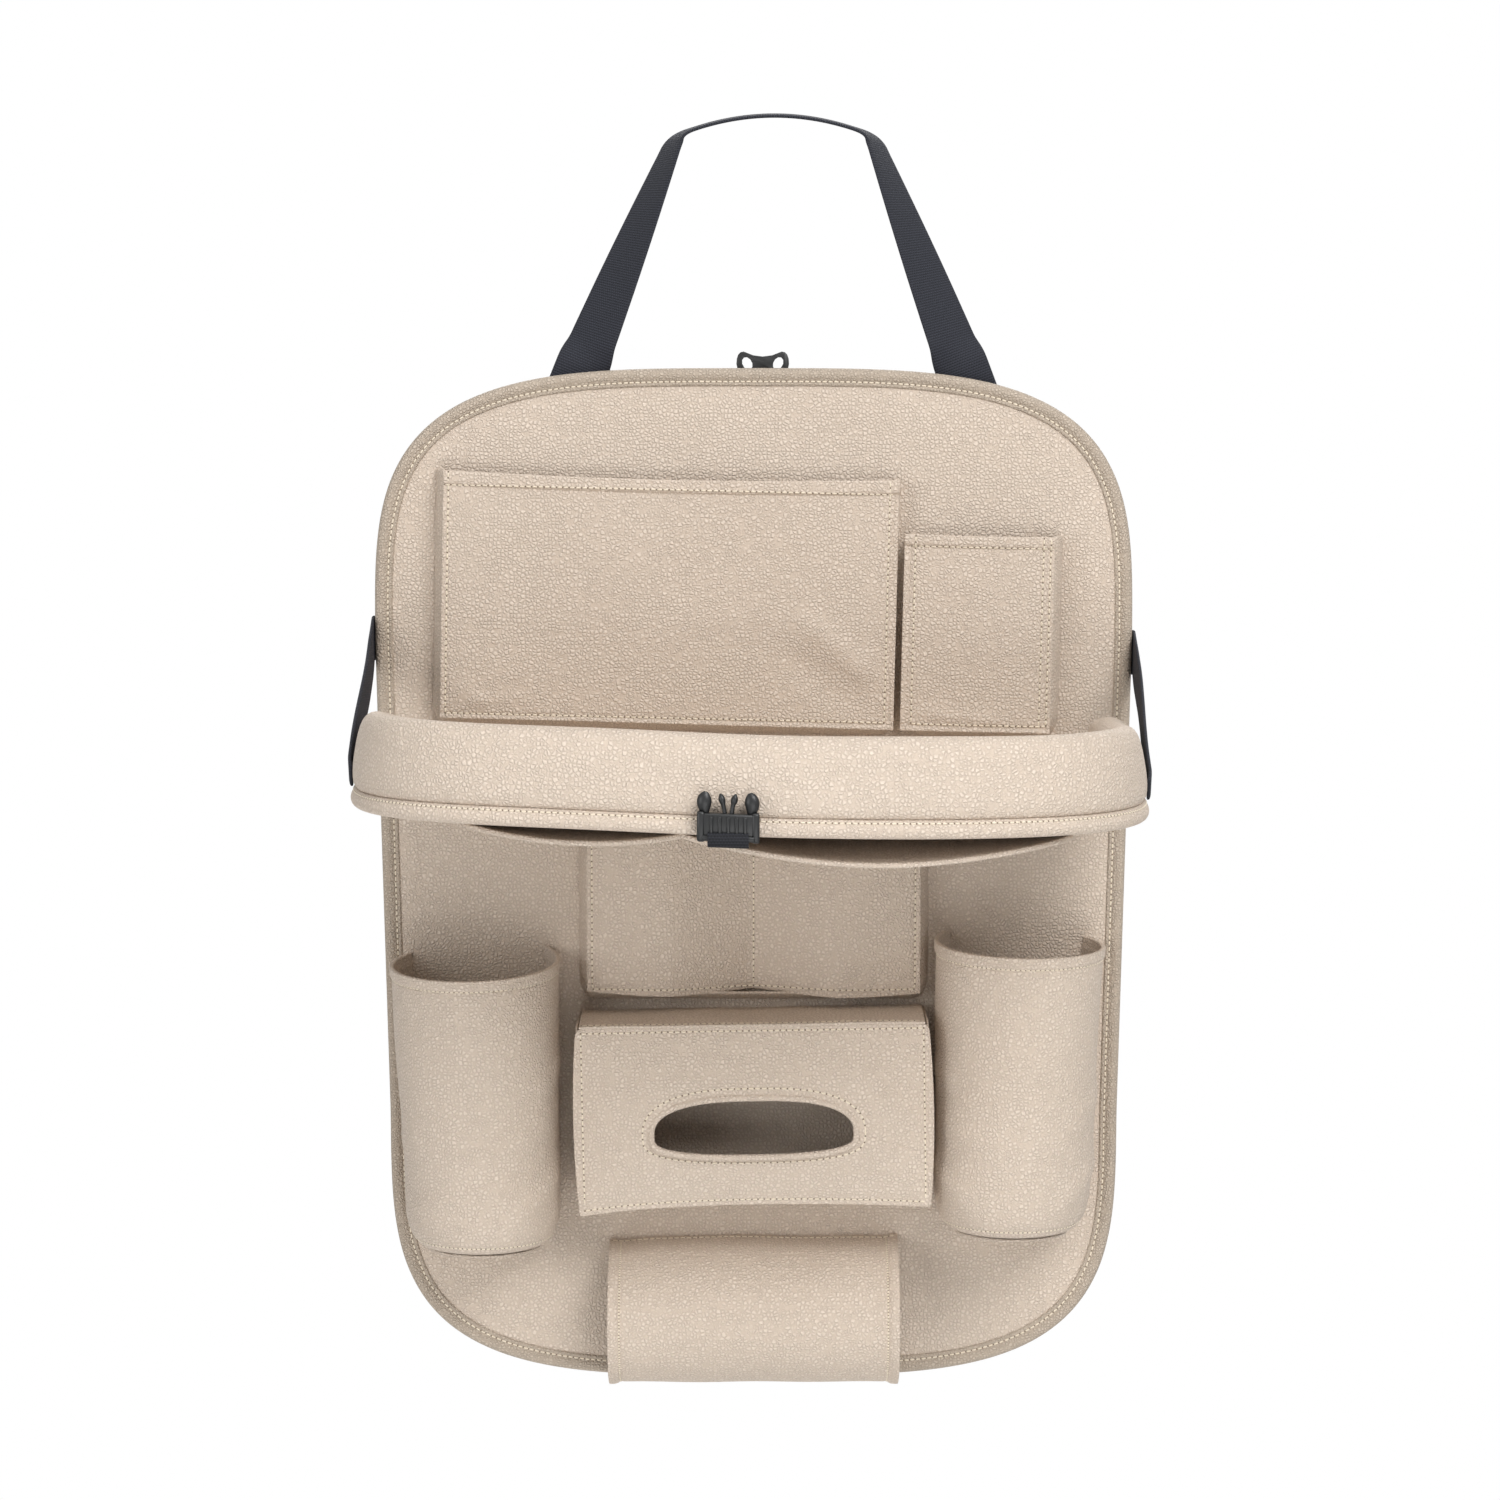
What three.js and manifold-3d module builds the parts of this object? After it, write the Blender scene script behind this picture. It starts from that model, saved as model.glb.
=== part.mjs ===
// A hanging storage bag for the back of a car seat, with a fold-out tray, in millimetres.
// X runs to the right as the bag is seen, Z runs up, and -Y points at the person who uses it.
// The origin is the middle of the flat back face, which lies against the seat.
import * as THREE from "three";
import { mergeVertices } from "three/addons/utils/BufferGeometryUtils.js";
import Module from "manifold-3d";

const wasm = await Module();
wasm.setup();

// Sheet goods
const leather = 1.6;
const hemThickness = 2.6;
const hemDepth = 13;
const seamGap = 0.4;

// Back panel
const panelTopWidth = 418;
const panelBottomWidth = 406;
const panelHeight = 564;
const panelTopRise = 150;
const panelBottomRise = 152;
const cornerPower = 3.6;
const liningThickness = 1;
const foamThickness = 5.1;
const bindingWidth = 11;
const bindingFrontProud = 2.2;
const bindingRound = 4;

// Upper pockets
const upperPocketBottom = 85;
const upperPocketTilt = 1.3;
const tabletPocketLeft = -172.5;
const tabletPocketWidth = 247;
const tabletPocketHeight = 136;
const tabletPocketDepth = 12;
const tabletPocketBulge = 4;
const phonePocketGap = 8.5;
const phonePocketWidth = 80;
const phonePocketHeight = 107;
const phonePocketDepth = 15;
const phonePocketBulge = 3;
const gussetFlare = 5;
const sharedFlare = 3;
const gussetCorner = 7;

// Bottle pockets
const bottlePocketWidth = 92;
const bottlePocketTaper = 8;
const bottlePocketHeight = 161;
const bottleStandoff = 26;
const bottleHeelRadius = 20;
const bottleMouthDip = 7;
const bottleMouthSlope = 4;
const leftBottleInner = -107;
const leftBottleTop = -37;
const rightBottleInner = 100;
const rightBottleTop = -28;

// Double pocket in the middle
const centrePocketWidth = 184;
const centrePocketTop = 40;
const centrePocketHeight = 102;
const centrePocketDepth = 15;
const centrePocketBulge = 5;

// Tissue pocket
const tissuePocketWidth = 192;
const tissuePocketHeight = 103;
const tissuePocketTop = -73;
const tissuePocketDepth = 52;
const tissuePocketTilt = -1;
const tissuePocketArch = 5;
const tissueSlotWidth = 106;
const tissueSlotHeight = 28;
const tissueSlotDrop = 5;
const slotPipingWidth = 3.4;
const flapOverhang = 2;

// Umbrella sleeve
const sleeveWidth = 161;
const sleeveHeight = 81;
const sleeveDepth = 44;
const sleeveSag = 2;

// Tray
const trayLevel = 67.4;
const trayWidth = 411;
const trayDepth = 214;
const trayFrontRise = 150;
const trayBase = 4;
const trayBoard = 8;
const edgingWidth = 11;
const edgingRound = 4.5;
const rimSetback = 1.5;
const rimWidth = 24;
const rimHeight = 38;
const rimHeightAtHinge = 28;
const rimTaper = 115;
const rimLean = 5;
const rimRound = 6;
const rimSkin = 1.4;
const closedClearance = 0.8;
const hingeGap = 0.5;
const hingeTab = 14;

// Pocket under the tray
const trayPocketLeft = -140;
const trayPocketWidth = 300;
const trayPocketDepth = 140;
const trayPocketInset = 13;
const trayPocketSeam = -33;
const trayPocketSagLeft = 7;
const trayPocketSagRight = 15;

// Webbing and buckle
const webbing = 1.8;
const headrestStrapWidth = 30;
const headrestStrapLeft = -97;
const headrestStrapRight = 117;
const headrestStrapRise = 139;
const headrestArchLeft = -43;
const headrestArchWidth = 109;
const headrestArchRise = 11;
const headrestStrapLean = 24;
const sewnLength = 6.5;
const stayWidth = 25;
const stayTaper = 11;
const stayAboveTray = 66;
const stayDrop = 8;
const stayReach = 118;
const buckleOffset = -10.5;
const buckleDrop = 13.4;
const buckleWidth = 30;
const buckleBody = 14;
const buckleThickness = 6;
const prongLength = 10.5;
const prongThickness = 4;
const tabWidth = 20;
const socketOffset = 5;
const socketWidth = 29;
const socketHeight = 18;
const socketThickness = 8.5;
const socketWall = 1.5;
const socketShow = 9;

// Sizes that follow from the ones above
const panelTop = panelHeight / 2;
const panelBottom = -panelHeight / 2;
const faceY = -(liningThickness + foamThickness + leather);
const bindingFrontY = faceY - bindingFrontProud;
const trayThickness = leather + trayBoard + trayBase;
const hingeY = bindingFrontY - closedClearance - rimHeight + leather;
const traySide = trayDepth - trayFrontRise;
const tabletPocketRight = tabletPocketLeft + tabletPocketWidth;
const phonePocketLeft = tabletPocketRight + phonePocketGap;

// Points from (halfWidth, 0) round to (0, rise) on a superellipse.
function roundCorner(halfWidth, rise, steps = 10) {
  const points = [];
  for (let i = 0; i <= steps; i += 1) {
    const angle = (i / steps) * (Math.PI / 2);
    const across = Math.max(0, Math.cos(angle)) ** (2 / cornerPower);
    const up = Math.sin(angle) ** (2 / cornerPower);
    points.push(new THREE.Vector2(halfWidth * across, rise * up));
  }
  return points;
}

// The panel's outline in X and Z, set in from its edge, anticlockwise.
function panelOutline(inset) {
  const top = roundCorner(panelTopWidth / 2 - inset, panelTopRise - inset);
  const bottom = roundCorner(panelBottomWidth / 2 - inset, panelBottomRise - inset);
  const topCentre = panelTop - panelTopRise;
  const bottomCentre = panelBottom + panelBottomRise;
  const outline = [];
  top.forEach((p) => outline.push(new THREE.Vector2(p.x, topCentre + p.y)));
  [...top].reverse().slice(1).forEach((p) => outline.push(new THREE.Vector2(-p.x, topCentre + p.y)));
  bottom.forEach((p) => outline.push(new THREE.Vector2(-p.x, bottomCentre - p.y)));
  [...bottom].reverse().slice(1).forEach((p) => outline.push(new THREE.Vector2(p.x, bottomCentre - p.y)));
  return outline;
}

// The tray's edge in plan, from its left hinge end round the front to its right hinge end.
function trayEdge(inset, rear) {
  const corner = roundCorner(trayWidth / 2 - inset, trayFrontRise - inset);
  const edge = [new THREE.Vector2(inset - trayWidth / 2, -rear)];
  corner.forEach((p) => edge.push(new THREE.Vector2(-p.x, -traySide - p.y)));
  [...corner].reverse().slice(1).forEach((p) => edge.push(new THREE.Vector2(p.x, -traySide - p.y)));
  edge.push(new THREE.Vector2(trayWidth / 2 - inset, -rear));
  return edge;
}

// How far the tray reaches sideways at a distance in front of its hinge.
function trayHalfWidth(distance, inset) {
  const share = THREE.MathUtils.clamp((distance - traySide) / (trayFrontRise - inset), 0, 1);
  return (trayWidth / 2 - inset) * (1 - share ** cornerPower) ** (1 / cornerPower);
}

// How far the tray reaches forwards at a distance from its middle.
function trayFront(x, inset) {
  const share = Math.min(1, Math.abs(x) / (trayWidth / 2 - inset));
  return traySide + (trayFrontRise - inset) * (1 - share ** cornerPower) ** (1 / cornerPower);
}

// A U-shaped band in plan that follows the tray's edge between two insets.
function trayBand(outerInset, innerInset, rear) {
  return new THREE.Shape([...trayEdge(outerInset, rear), ...trayEdge(innerInset, rear).reverse()]);
}

function extrude(shape, thickness, round, curveSegments) {
  return new THREE.ExtrudeGeometry(shape, {
    depth: thickness - 2 * round,
    bevelEnabled: round > 0,
    bevelThickness: round,
    bevelSize: round,
    bevelSegments: 2,
    curveSegments,
  });
}

// A plate whose shape is drawn in X and Z, with its back at y and its front towards the viewer.
function uprightPlate(shape, y, thickness, round = 0, curveSegments = 8) {
  const geometry = extrude(shape, thickness, round, curveSegments);
  geometry.rotateX(Math.PI / 2);
  geometry.translate(0, y - round, 0);
  return geometry;
}

// A plate whose shape is drawn in X and Y, with its underside at z.
function levelPlate(shape, z, thickness, round = 0, curveSegments = 8) {
  const geometry = extrude(shape, thickness, round, curveSegments);
  geometry.translate(0, 0, z + round);
  return geometry;
}

// A solid through a row of rings that have the same number of points, closed at both ends.
function loft(rings) {
  const size = rings[0].length;
  const indices = [];
  for (let r = 0; r < rings.length - 1; r += 1) {
    for (let k = 0; k < size; k += 1) {
      const here = r * size + k;
      const next = r * size + ((k + 1) % size);
      indices.push(here, next + size, next, here, here + size, next + size);
    }
  }
  const last = (rings.length - 1) * size;
  for (let k = 1; k < size - 1; k += 1) {
    indices.push(0, k, k + 1, last, last + k + 1, last + k);
  }
  const geometry = new THREE.BufferGeometry().setFromPoints(rings.flat());
  geometry.setIndex(indices);
  geometry.computeVertexNormals();
  return geometry;
}

// A closed sheet laid on the surface at(u, v), with half its thickness on each side of it.
function sheet(along, across, at, thickness = leather) {
  const step = 1e-4;
  const clamp = THREE.MathUtils.clamp;
  const thicknessAt = typeof thickness === "function" ? thickness : () => thickness;
  const geometry = new THREE.BoxGeometry(1, 1, 1, along, across, 1);
  const position = geometry.attributes.position;
  for (let i = 0; i < position.count; i += 1) {
    const u = position.getX(i) + 0.5;
    const v = position.getY(i) + 0.5;
    const alongU = at(clamp(u + step, 0, 1), v).sub(at(clamp(u - step, 0, 1), v));
    const alongV = at(u, clamp(v + step, 0, 1)).sub(at(u, clamp(v - step, 0, 1)));
    const offset = alongU.cross(alongV).setLength(position.getZ(i) * thicknessAt(u, v));
    const point = at(u, v).add(offset);
    position.setXYZ(i, point.x, point.y, point.z);
  }
  return geometry;
}

function solidOf(geometry) {
  const bare = geometry.index ? geometry.toNonIndexed() : geometry.clone();
  bare.deleteAttribute("normal");
  bare.deleteAttribute("uv");
  const merged = mergeVertices(bare, 1e-4);
  return new wasm.Manifold(
    new wasm.Mesh({
      numProp: 3,
      vertProperties: merged.attributes.position.array,
      triVerts: new Uint32Array(merged.index.array),
    }),
  );
}

function geometryOf(solid) {
  const mesh = solid.getMesh();
  const geometry = new THREE.BufferGeometry();
  geometry.setAttribute("position", new THREE.BufferAttribute(mesh.vertProperties, 3));
  geometry.setIndex(new THREE.BufferAttribute(mesh.triVerts, 1));
  geometry.computeVertexNormals();
  return geometry;
}

const join = (first, ...rest) => geometryOf(rest.reduce((sum, g) => sum.add(solidOf(g)), solidOf(first)));
const cut = (first, ...rest) => geometryOf(rest.reduce((sum, g) => sum.subtract(solidOf(g)), solidOf(first)));

function box(width, depth, height, x, y, z) {
  const geometry = new THREE.BoxGeometry(width, depth, height);
  geometry.translate(x, y, z);
  return geometry;
}

const materials = {
  leather: new THREE.MeshStandardMaterial({ color: "#cbbba5", roughness: 0.55 }),
  leatherEdge: new THREE.MeshStandardMaterial({ color: "#c4b49d", roughness: 0.5 }),
  lining: new THREE.MeshStandardMaterial({ color: "#4a4642", roughness: 0.95 }),
  foam: new THREE.MeshStandardMaterial({ color: "#d8d4c8", roughness: 1 }),
  board: new THREE.MeshStandardMaterial({ color: "#8f8a80", roughness: 0.7 }),
  webbing: new THREE.MeshStandardMaterial({ color: "#22242a", roughness: 0.85 }),
  plastic: new THREE.MeshStandardMaterial({ color: "#17191c", roughness: 0.4 }),
};

const bag = new THREE.Group();

function place(name, geometry, material, parent = bag) {
  const mesh = new THREE.Mesh(geometry, materials[material]);
  mesh.name = name;
  parent.add(mesh);
  return mesh;
}

// Back panel: a lining, a foam pad and a leather face inside a rolled binding.
function makePanel() {
  const field = () => new THREE.Shape(panelOutline(bindingWidth + seamGap));
  const layers = [
    ["panel_lining", "lining", liningThickness],
    ["panel_foam", "foam", foamThickness],
    ["panel_face", "leather", leather],
  ];
  let y = 0;
  layers.forEach(([name, material, thickness]) => {
    place(name, uprightPlate(field(), y, thickness), material);
    y -= thickness;
  });
  const ring = new THREE.Shape(panelOutline(bindingRound));
  ring.holes.push(new THREE.Path(panelOutline(bindingWidth - bindingRound)));
  place("panel_binding", uprightPlate(ring, 0, -bindingFrontY, bindingRound), "leatherEdge");
}

// The U-shaped run of a gusset round the left, bottom and right of a pocket.
function gussetRun(width, height, corner) {
  const run = new THREE.CurvePath();
  const point = (x, z) => new THREE.Vector3(x, 0, z);
  run.add(new THREE.LineCurve3(point(-width / 2, height), point(-width / 2, corner)));
  run.add(new THREE.QuadraticBezierCurve3(
    point(-width / 2, corner),
    point(-width / 2, 0),
    point(corner - width / 2, 0),
  ));
  run.add(new THREE.LineCurve3(point(corner - width / 2, 0), point(width / 2 - corner, 0)));
  run.add(new THREE.QuadraticBezierCurve3(
    point(width / 2 - corner, 0),
    point(width / 2, 0),
    point(width / 2, corner),
  ));
  run.add(new THREE.LineCurve3(point(width / 2, corner), point(width / 2, height)));
  return run;
}

// A gusset strip from the panel's face to a pocket's front, wider at the panel by its flares.
function gusset(width, height, depth, flareLeft, flareRight, flareBottom) {
  const inner = leather / 2;
  const run = gussetRun(width - leather, height, gussetCorner);
  const rows = 30;
  const spaced = run.getSpacedPoints(rows);
  return sheet(rows, 2, (u, v) => {
    const along = u * rows;
    const low = Math.min(rows - 1, Math.floor(along));
    const point = spaced[low].clone().lerp(spaced[low + 1], along - low);
    const toPanel = 1 - v;
    const side = point.x / (width / 2 - inner);
    const flare = side < 0 ? flareLeft : flareRight;
    const nearBottom = THREE.MathUtils.clamp(1 - point.z / gussetCorner, 0, 1);
    point.x += toPanel * flare * side;
    point.z += inner - toPanel * flareBottom * nearBottom;
    point.y = faceY - seamGap - leather / 4 - v * (depth - 2 * seamGap - leather / 2);
    return point;
  });
}

// A pocket's front sheet, with a folded hem at its mouth and a soft bulge.
function pocketFront(width, height, depth, bulge, columns = 12, rows = 8) {
  const hemShare = 1 - hemDepth / height;
  return sheet(
    columns,
    rows,
    (u, v) => {
      const across = Math.sin(Math.PI * u) ** 0.6;
      const up = Math.min(1, 2.4 * v) * (1 - 0.25 * v);
      const y = faceY - depth - leather / 2 - bulge * across * up;
      return new THREE.Vector3((u - 0.5) * width, y, v * height);
    },
    (u, v) => (v >= hemShare ? hemThickness : leather),
  );
}

function makeUpperPockets() {
  const tilt = new THREE.Group();
  tilt.rotation.y = THREE.MathUtils.degToRad(upperPocketTilt);
  tilt.position.set(tabletPocketRight, 0, upperPocketBottom);
  bag.add(tilt);

  const tablet = new THREE.Group();
  tablet.position.x = -tabletPocketWidth / 2;
  tilt.add(tablet);
  const tabletFront = pocketFront(tabletPocketWidth, tabletPocketHeight, tabletPocketDepth, tabletPocketBulge);
  place("tablet_pocket_front", tabletFront, "leather", tablet);
  const tabletGusset = gusset(
    tabletPocketWidth, tabletPocketHeight, tabletPocketDepth, gussetFlare, sharedFlare, gussetFlare,
  );
  place("tablet_pocket_gusset", tabletGusset, "leather", tablet);

  const phone = new THREE.Group();
  phone.position.x = phonePocketGap + phonePocketWidth / 2;
  tilt.add(phone);
  const phoneFront = pocketFront(phonePocketWidth, phonePocketHeight, phonePocketDepth, phonePocketBulge, 8);
  place("phone_pocket_front", phoneFront, "leather", phone);
  const phoneGusset = gusset(
    phonePocketWidth, phonePocketHeight, phonePocketDepth, -sharedFlare, gussetFlare, gussetFlare,
  );
  place("phone_pocket_gusset", phoneGusset, "leather", phone);
}

// A bottle pocket's wall is most of a cylinder that stands off the panel, with a rounded heel.
// Its inner side is upright, and its outer side follows the narrowing panel.
function bottleWallPoint(side, dip, u, height) {
  const up = height / bottlePocketHeight;
  const heel = Math.max(0, 1 - height / bottleHeelRadius);
  const inset = bottleHeelRadius * 0.5 * (1 - Math.sqrt(1 - heel ** 2));
  const width = bottlePocketWidth - bottlePocketTaper * (1 - up);
  const radius = width / 2 - leather / 2 - inset;
  const reach = Math.acos(-bottleStandoff / radius) - seamGap / radius;
  const angle = side * (2 * u - 1) * reach;
  const x = radius * Math.sin(angle);
  const cutAway = (dip * Math.sin(Math.PI * u) + bottleMouthSlope * u) * up ** 4;
  return new THREE.Vector3(
    side * (width / 2) + x,
    faceY - seamGap - bottleStandoff - radius * Math.cos(angle),
    height - cutAway,
  );
}

function makeBottlePocket(name, side, inner, top, dip) {
  const pocket = new THREE.Group();
  pocket.position.set(inner, 0, top - bottlePocketHeight);
  bag.add(pocket);
  const hemStart = bottlePocketHeight - hemDepth;
  const rows = 8;
  const heelRows = 3;
  const baseSteps = 18;
  const heightAt = (v) => {
    const row = v * rows;
    if (row <= heelRows) return bottleHeelRadius * (row / heelRows) ** 1.5;
    return bottleHeelRadius + (bottlePocketHeight - bottleHeelRadius) * ((row - heelRows) / (rows - heelRows));
  };
  const point = (u, height) => bottleWallPoint(side, dip, side > 0 ? u : 1 - u, height);
  const wall = sheet(
    20,
    rows,
    (u, v) => point(u, heightAt(v)),
    (u, v) => (heightAt(v) > hemStart ? hemThickness : leather),
  );
  place(name + "_wall", wall, "leather", pocket);
  const outline = [];
  for (let i = 0; i <= baseSteps; i += 1) {
    const rim = point(i / baseSteps, 0);
    outline.push(new THREE.Vector2(rim.x, rim.y));
  }
  const base = levelPlate(new THREE.Shape(outline.reverse()), -1.5 * leather - seamGap, leather);
  place(name + "_base", base, "leather", pocket);
}

function makeCentrePocket() {
  const pocket = new THREE.Group();
  pocket.position.z = centrePocketTop - centrePocketHeight;
  bag.add(pocket);
  const hemShare = 1 - hemDepth / centrePocketHeight;
  const front = sheet(
    20,
    7,
    (u, v) => {
      const side = Math.abs(2 * u - 1);
      const atSeam = 1 - Math.min(1, side / 0.5) ** 1.3;
      const bulge = centrePocketBulge * Math.sin(Math.PI * side) ** 0.8;
      const pull = (centrePocketDepth - hemThickness) * atSeam;
      const y = faceY - centrePocketDepth - leather / 2 - bulge + pull;
      return new THREE.Vector3((u - 0.5) * centrePocketWidth, y, v * centrePocketHeight);
    },
    (u, v) => (v >= hemShare ? hemThickness : leather),
  );
  place("centre_pocket_front", front, "leather", pocket);
  const sides = gusset(
    centrePocketWidth, centrePocketHeight, centrePocketDepth, gussetFlare, gussetFlare, gussetFlare,
  );
  const seamRelief = box(
    centrePocketWidth / 2, centrePocketDepth, 2 * gussetCorner, 0, faceY - centrePocketDepth - seamGap, 0,
  );
  place("centre_pocket_gusset", cut(sides, seamRelief), "leather", pocket);
}

// The slot is flatter below than above, like a mouth.
function slotOutline(width, height) {
  const slot = new THREE.Path();
  const end = width / 2;
  const flat = width / 4;
  slot.moveTo(-end, 0);
  slot.bezierCurveTo(-end, height * 0.35, -flat * 1.1, height / 2, 0, height / 2);
  slot.bezierCurveTo(flat * 1.1, height / 2, end, height * 0.35, end, 0);
  slot.bezierCurveTo(end, -height * 0.4, end - flat * 0.3, -height / 2, flat, -height / 2);
  slot.lineTo(-flat, -height / 2);
  slot.bezierCurveTo(flat * 0.3 - end, -height / 2, -end, -height * 0.4, -end, 0);
  return slot.getPoints(6).slice(1).reverse();
}

function makeTissuePocket() {
  const pocket = new THREE.Group();
  pocket.position.z = tissuePocketTop - tissuePocketHeight / 2;
  pocket.rotation.y = THREE.MathUtils.degToRad(tissuePocketTilt);
  bag.add(pocket);
  const halfWidth = tissuePocketWidth / 2;
  const halfHeight = tissuePocketHeight / 2;
  const frontBack = faceY - tissuePocketDepth;

  const front = new THREE.Shape();
  front.moveTo(-halfWidth, -halfHeight);
  front.quadraticCurveTo(0, 2 * tissuePocketArch - halfHeight, halfWidth, -halfHeight);
  front.lineTo(halfWidth, halfHeight);
  front.lineTo(-halfWidth, halfHeight);
  const slot = slotOutline(tissueSlotWidth, tissueSlotHeight);
  front.holes.push(new THREE.Path(slot.map((p) => new THREE.Vector2(p.x, p.y - tissueSlotDrop))));
  place("tissue_pocket_front", uprightPlate(front, frontBack, leather), "leather", pocket);

  const piping = new THREE.Shape(slotOutline(
    tissueSlotWidth + 2 * slotPipingWidth, tissueSlotHeight + 2 * slotPipingWidth,
  ));
  piping.holes.push(new THREE.Path(slot));
  const pipingRing = uprightPlate(piping, frontBack - leather, leather);
  pipingRing.translate(0, 0, -tissueSlotDrop);
  place("tissue_slot_piping", pipingRing, "leatherEdge", pocket);

  const sides = gusset(tissuePocketWidth, tissuePocketHeight, tissuePocketDepth, 0, 0, 0);
  sides.translate(0, 0, -halfHeight);
  place("tissue_pocket_gusset", sides, "leather", pocket);

  const flapDepth = tissuePocketDepth + leather + flapOverhang;
  const flap = sheet(6, 4, (u, v) => new THREE.Vector3(
    (u - 0.5) * (tissuePocketWidth - 2 * flapOverhang),
    faceY - seamGap - v * flapDepth,
    halfHeight + seamGap + leather / 2 + 2 * Math.sin(Math.PI * v),
  ));
  place("tissue_pocket_flap", flap, "leather", pocket);
}

function makeUmbrellaSleeve() {
  const top = panelBottom + sleeveHeight;
  const middle = panelBottom + sleeveHeight / 2;
  const sleeve = sheet(6, 18, (u, v) => {
    const angle = Math.PI * v;
    const base = THREE.MathUtils.lerp(bindingFrontY, faceY, v) - seamGap;
    return new THREE.Vector3(
      (u - 0.5) * sleeveWidth,
      base - sleeveDepth * Math.sin(angle),
      middle - (top - middle - leather / 2) * Math.cos(angle) - sleeveSag * Math.sin(angle),
    );
  });
  place("umbrella_sleeve", sleeve, "leather");
}

// The strip stands out from the panel like a narrow shelf, and its free edge is the tray's hinge line.
function makeHingeStrip() {
  const shelfDepth = faceY - seamGap - hingeY;
  const width = trayWidth - 2 * edgingWidth;
  const shelf = box(width, shelfDepth, leather, 0, faceY - seamGap - shelfDepth / 2, trayLevel - leather / 2);
  const tab = box(
    width, leather, hingeTab, 0, faceY - seamGap - leather / 2, trayLevel - hingeTab / 2,
  );
  place("hinge_strip", join(shelf, tab), "leather");
}

function makeTray() {
  const tray = new THREE.Group();
  tray.position.set(0, hingeY, trayLevel);
  bag.add(tray);
  const well = new THREE.Shape(trayEdge(rimSetback + rimWidth + seamGap, hingeGap));
  place("tray_top_cover", levelPlate(well, -leather, leather), "leather", tray);
  const field = new THREE.Shape(trayEdge(edgingWidth + seamGap, hingeGap));
  place("tray_board", levelPlate(field, -leather - trayBoard, trayBoard), "board", tray);
  place("tray_bottom_cover", levelPlate(field, -trayThickness, trayBase), "leather", tray);

  const edging = trayBand(edgingRound, edgingWidth - edgingRound, hingeGap + edgingRound);
  const edgingHeight = trayThickness - leather;
  place("tray_edging", levelPlate(edging, -trayThickness, edgingHeight, edgingRound), "leatherEdge", tray);

  makeRim(tray);
  makeTrayPocket(tray);
  makeTrayBuckle(tray);
}

// A thick wall along the tray's edge, set in by a skin all round.
// Its outer side leans inwards as it rises, and it gets lower towards the hinge.
function rimWall(skin, rear) {
  const foot = seamGap + skin - leather;
  const round = rimRound - skin;
  const corner = 0.3 * round;
  const inner = rimSetback + rimWidth - skin;
  const leanAt = (z) => rimSetback + skin + (rimLean * (z + leather)) / rimHeight;
  return loft(trayEdge(rimSetback + rimWidth / 2, rear).map((middle, i) => {
    const forward = Math.min(1, -middle.y / rimTaper);
    const top = THREE.MathUtils.lerp(rimHeightAtHinge, rimHeight, forward) - skin - leather;
    const crest = leanAt(top - round);
    const section = [
      [leanAt(foot), foot],
      [crest, top - round],
      [crest + corner, top - corner],
      [crest + round, top],
      [inner - round, top],
      [inner - corner, top - corner],
      [inner, top - round],
      [inner, foot],
    ];
    return section.map(([inset, z]) => {
      const edge = trayEdge(inset, rear)[i];
      return new THREE.Vector3(edge.x, edge.y, z);
    });
  }));
}

// The raised rim is a leather tube, open at its two hinge ends, round a foam core.
function makeRim(tray) {
  const cover = cut(rimWall(0, hingeGap), rimWall(rimSkin, -rimHeight));
  place("tray_rim_cover", cover, "leather", tray);
  place("tray_rim_foam", rimWall(rimSkin + seamGap, hingeGap), "foam", tray);
}

// One leather sheet under the tray, sewn down its middle, that sags open at its mouth.
function makeTrayPocket(tray) {
  const right = trayPocketLeft + trayPocketWidth;
  const sagAt = (x) => {
    const end = x > trayPocketSeam ? right : trayPocketLeft;
    const sag = x > trayPocketSeam ? trayPocketSagRight : trayPocketSagLeft;
    const share = (x - trayPocketSeam) / (end - trayPocketSeam);
    return sag * Math.sin(Math.PI * share) ** 0.8;
  };
  const rear = trayDepth - trayPocketInset - trayPocketDepth;
  const pocket = sheet(20, 5, (u, v) => {
    const x = trayPocketLeft + u * trayPocketWidth;
    return new THREE.Vector3(
      x,
      -THREE.MathUtils.lerp(rear, trayFront(x, trayPocketInset), v),
      -trayThickness - seamGap - leather / 2 - sagAt(x) * v ** 1.4,
    );
  });
  place("tray_pocket", pocket, "leather", tray);
}

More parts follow.
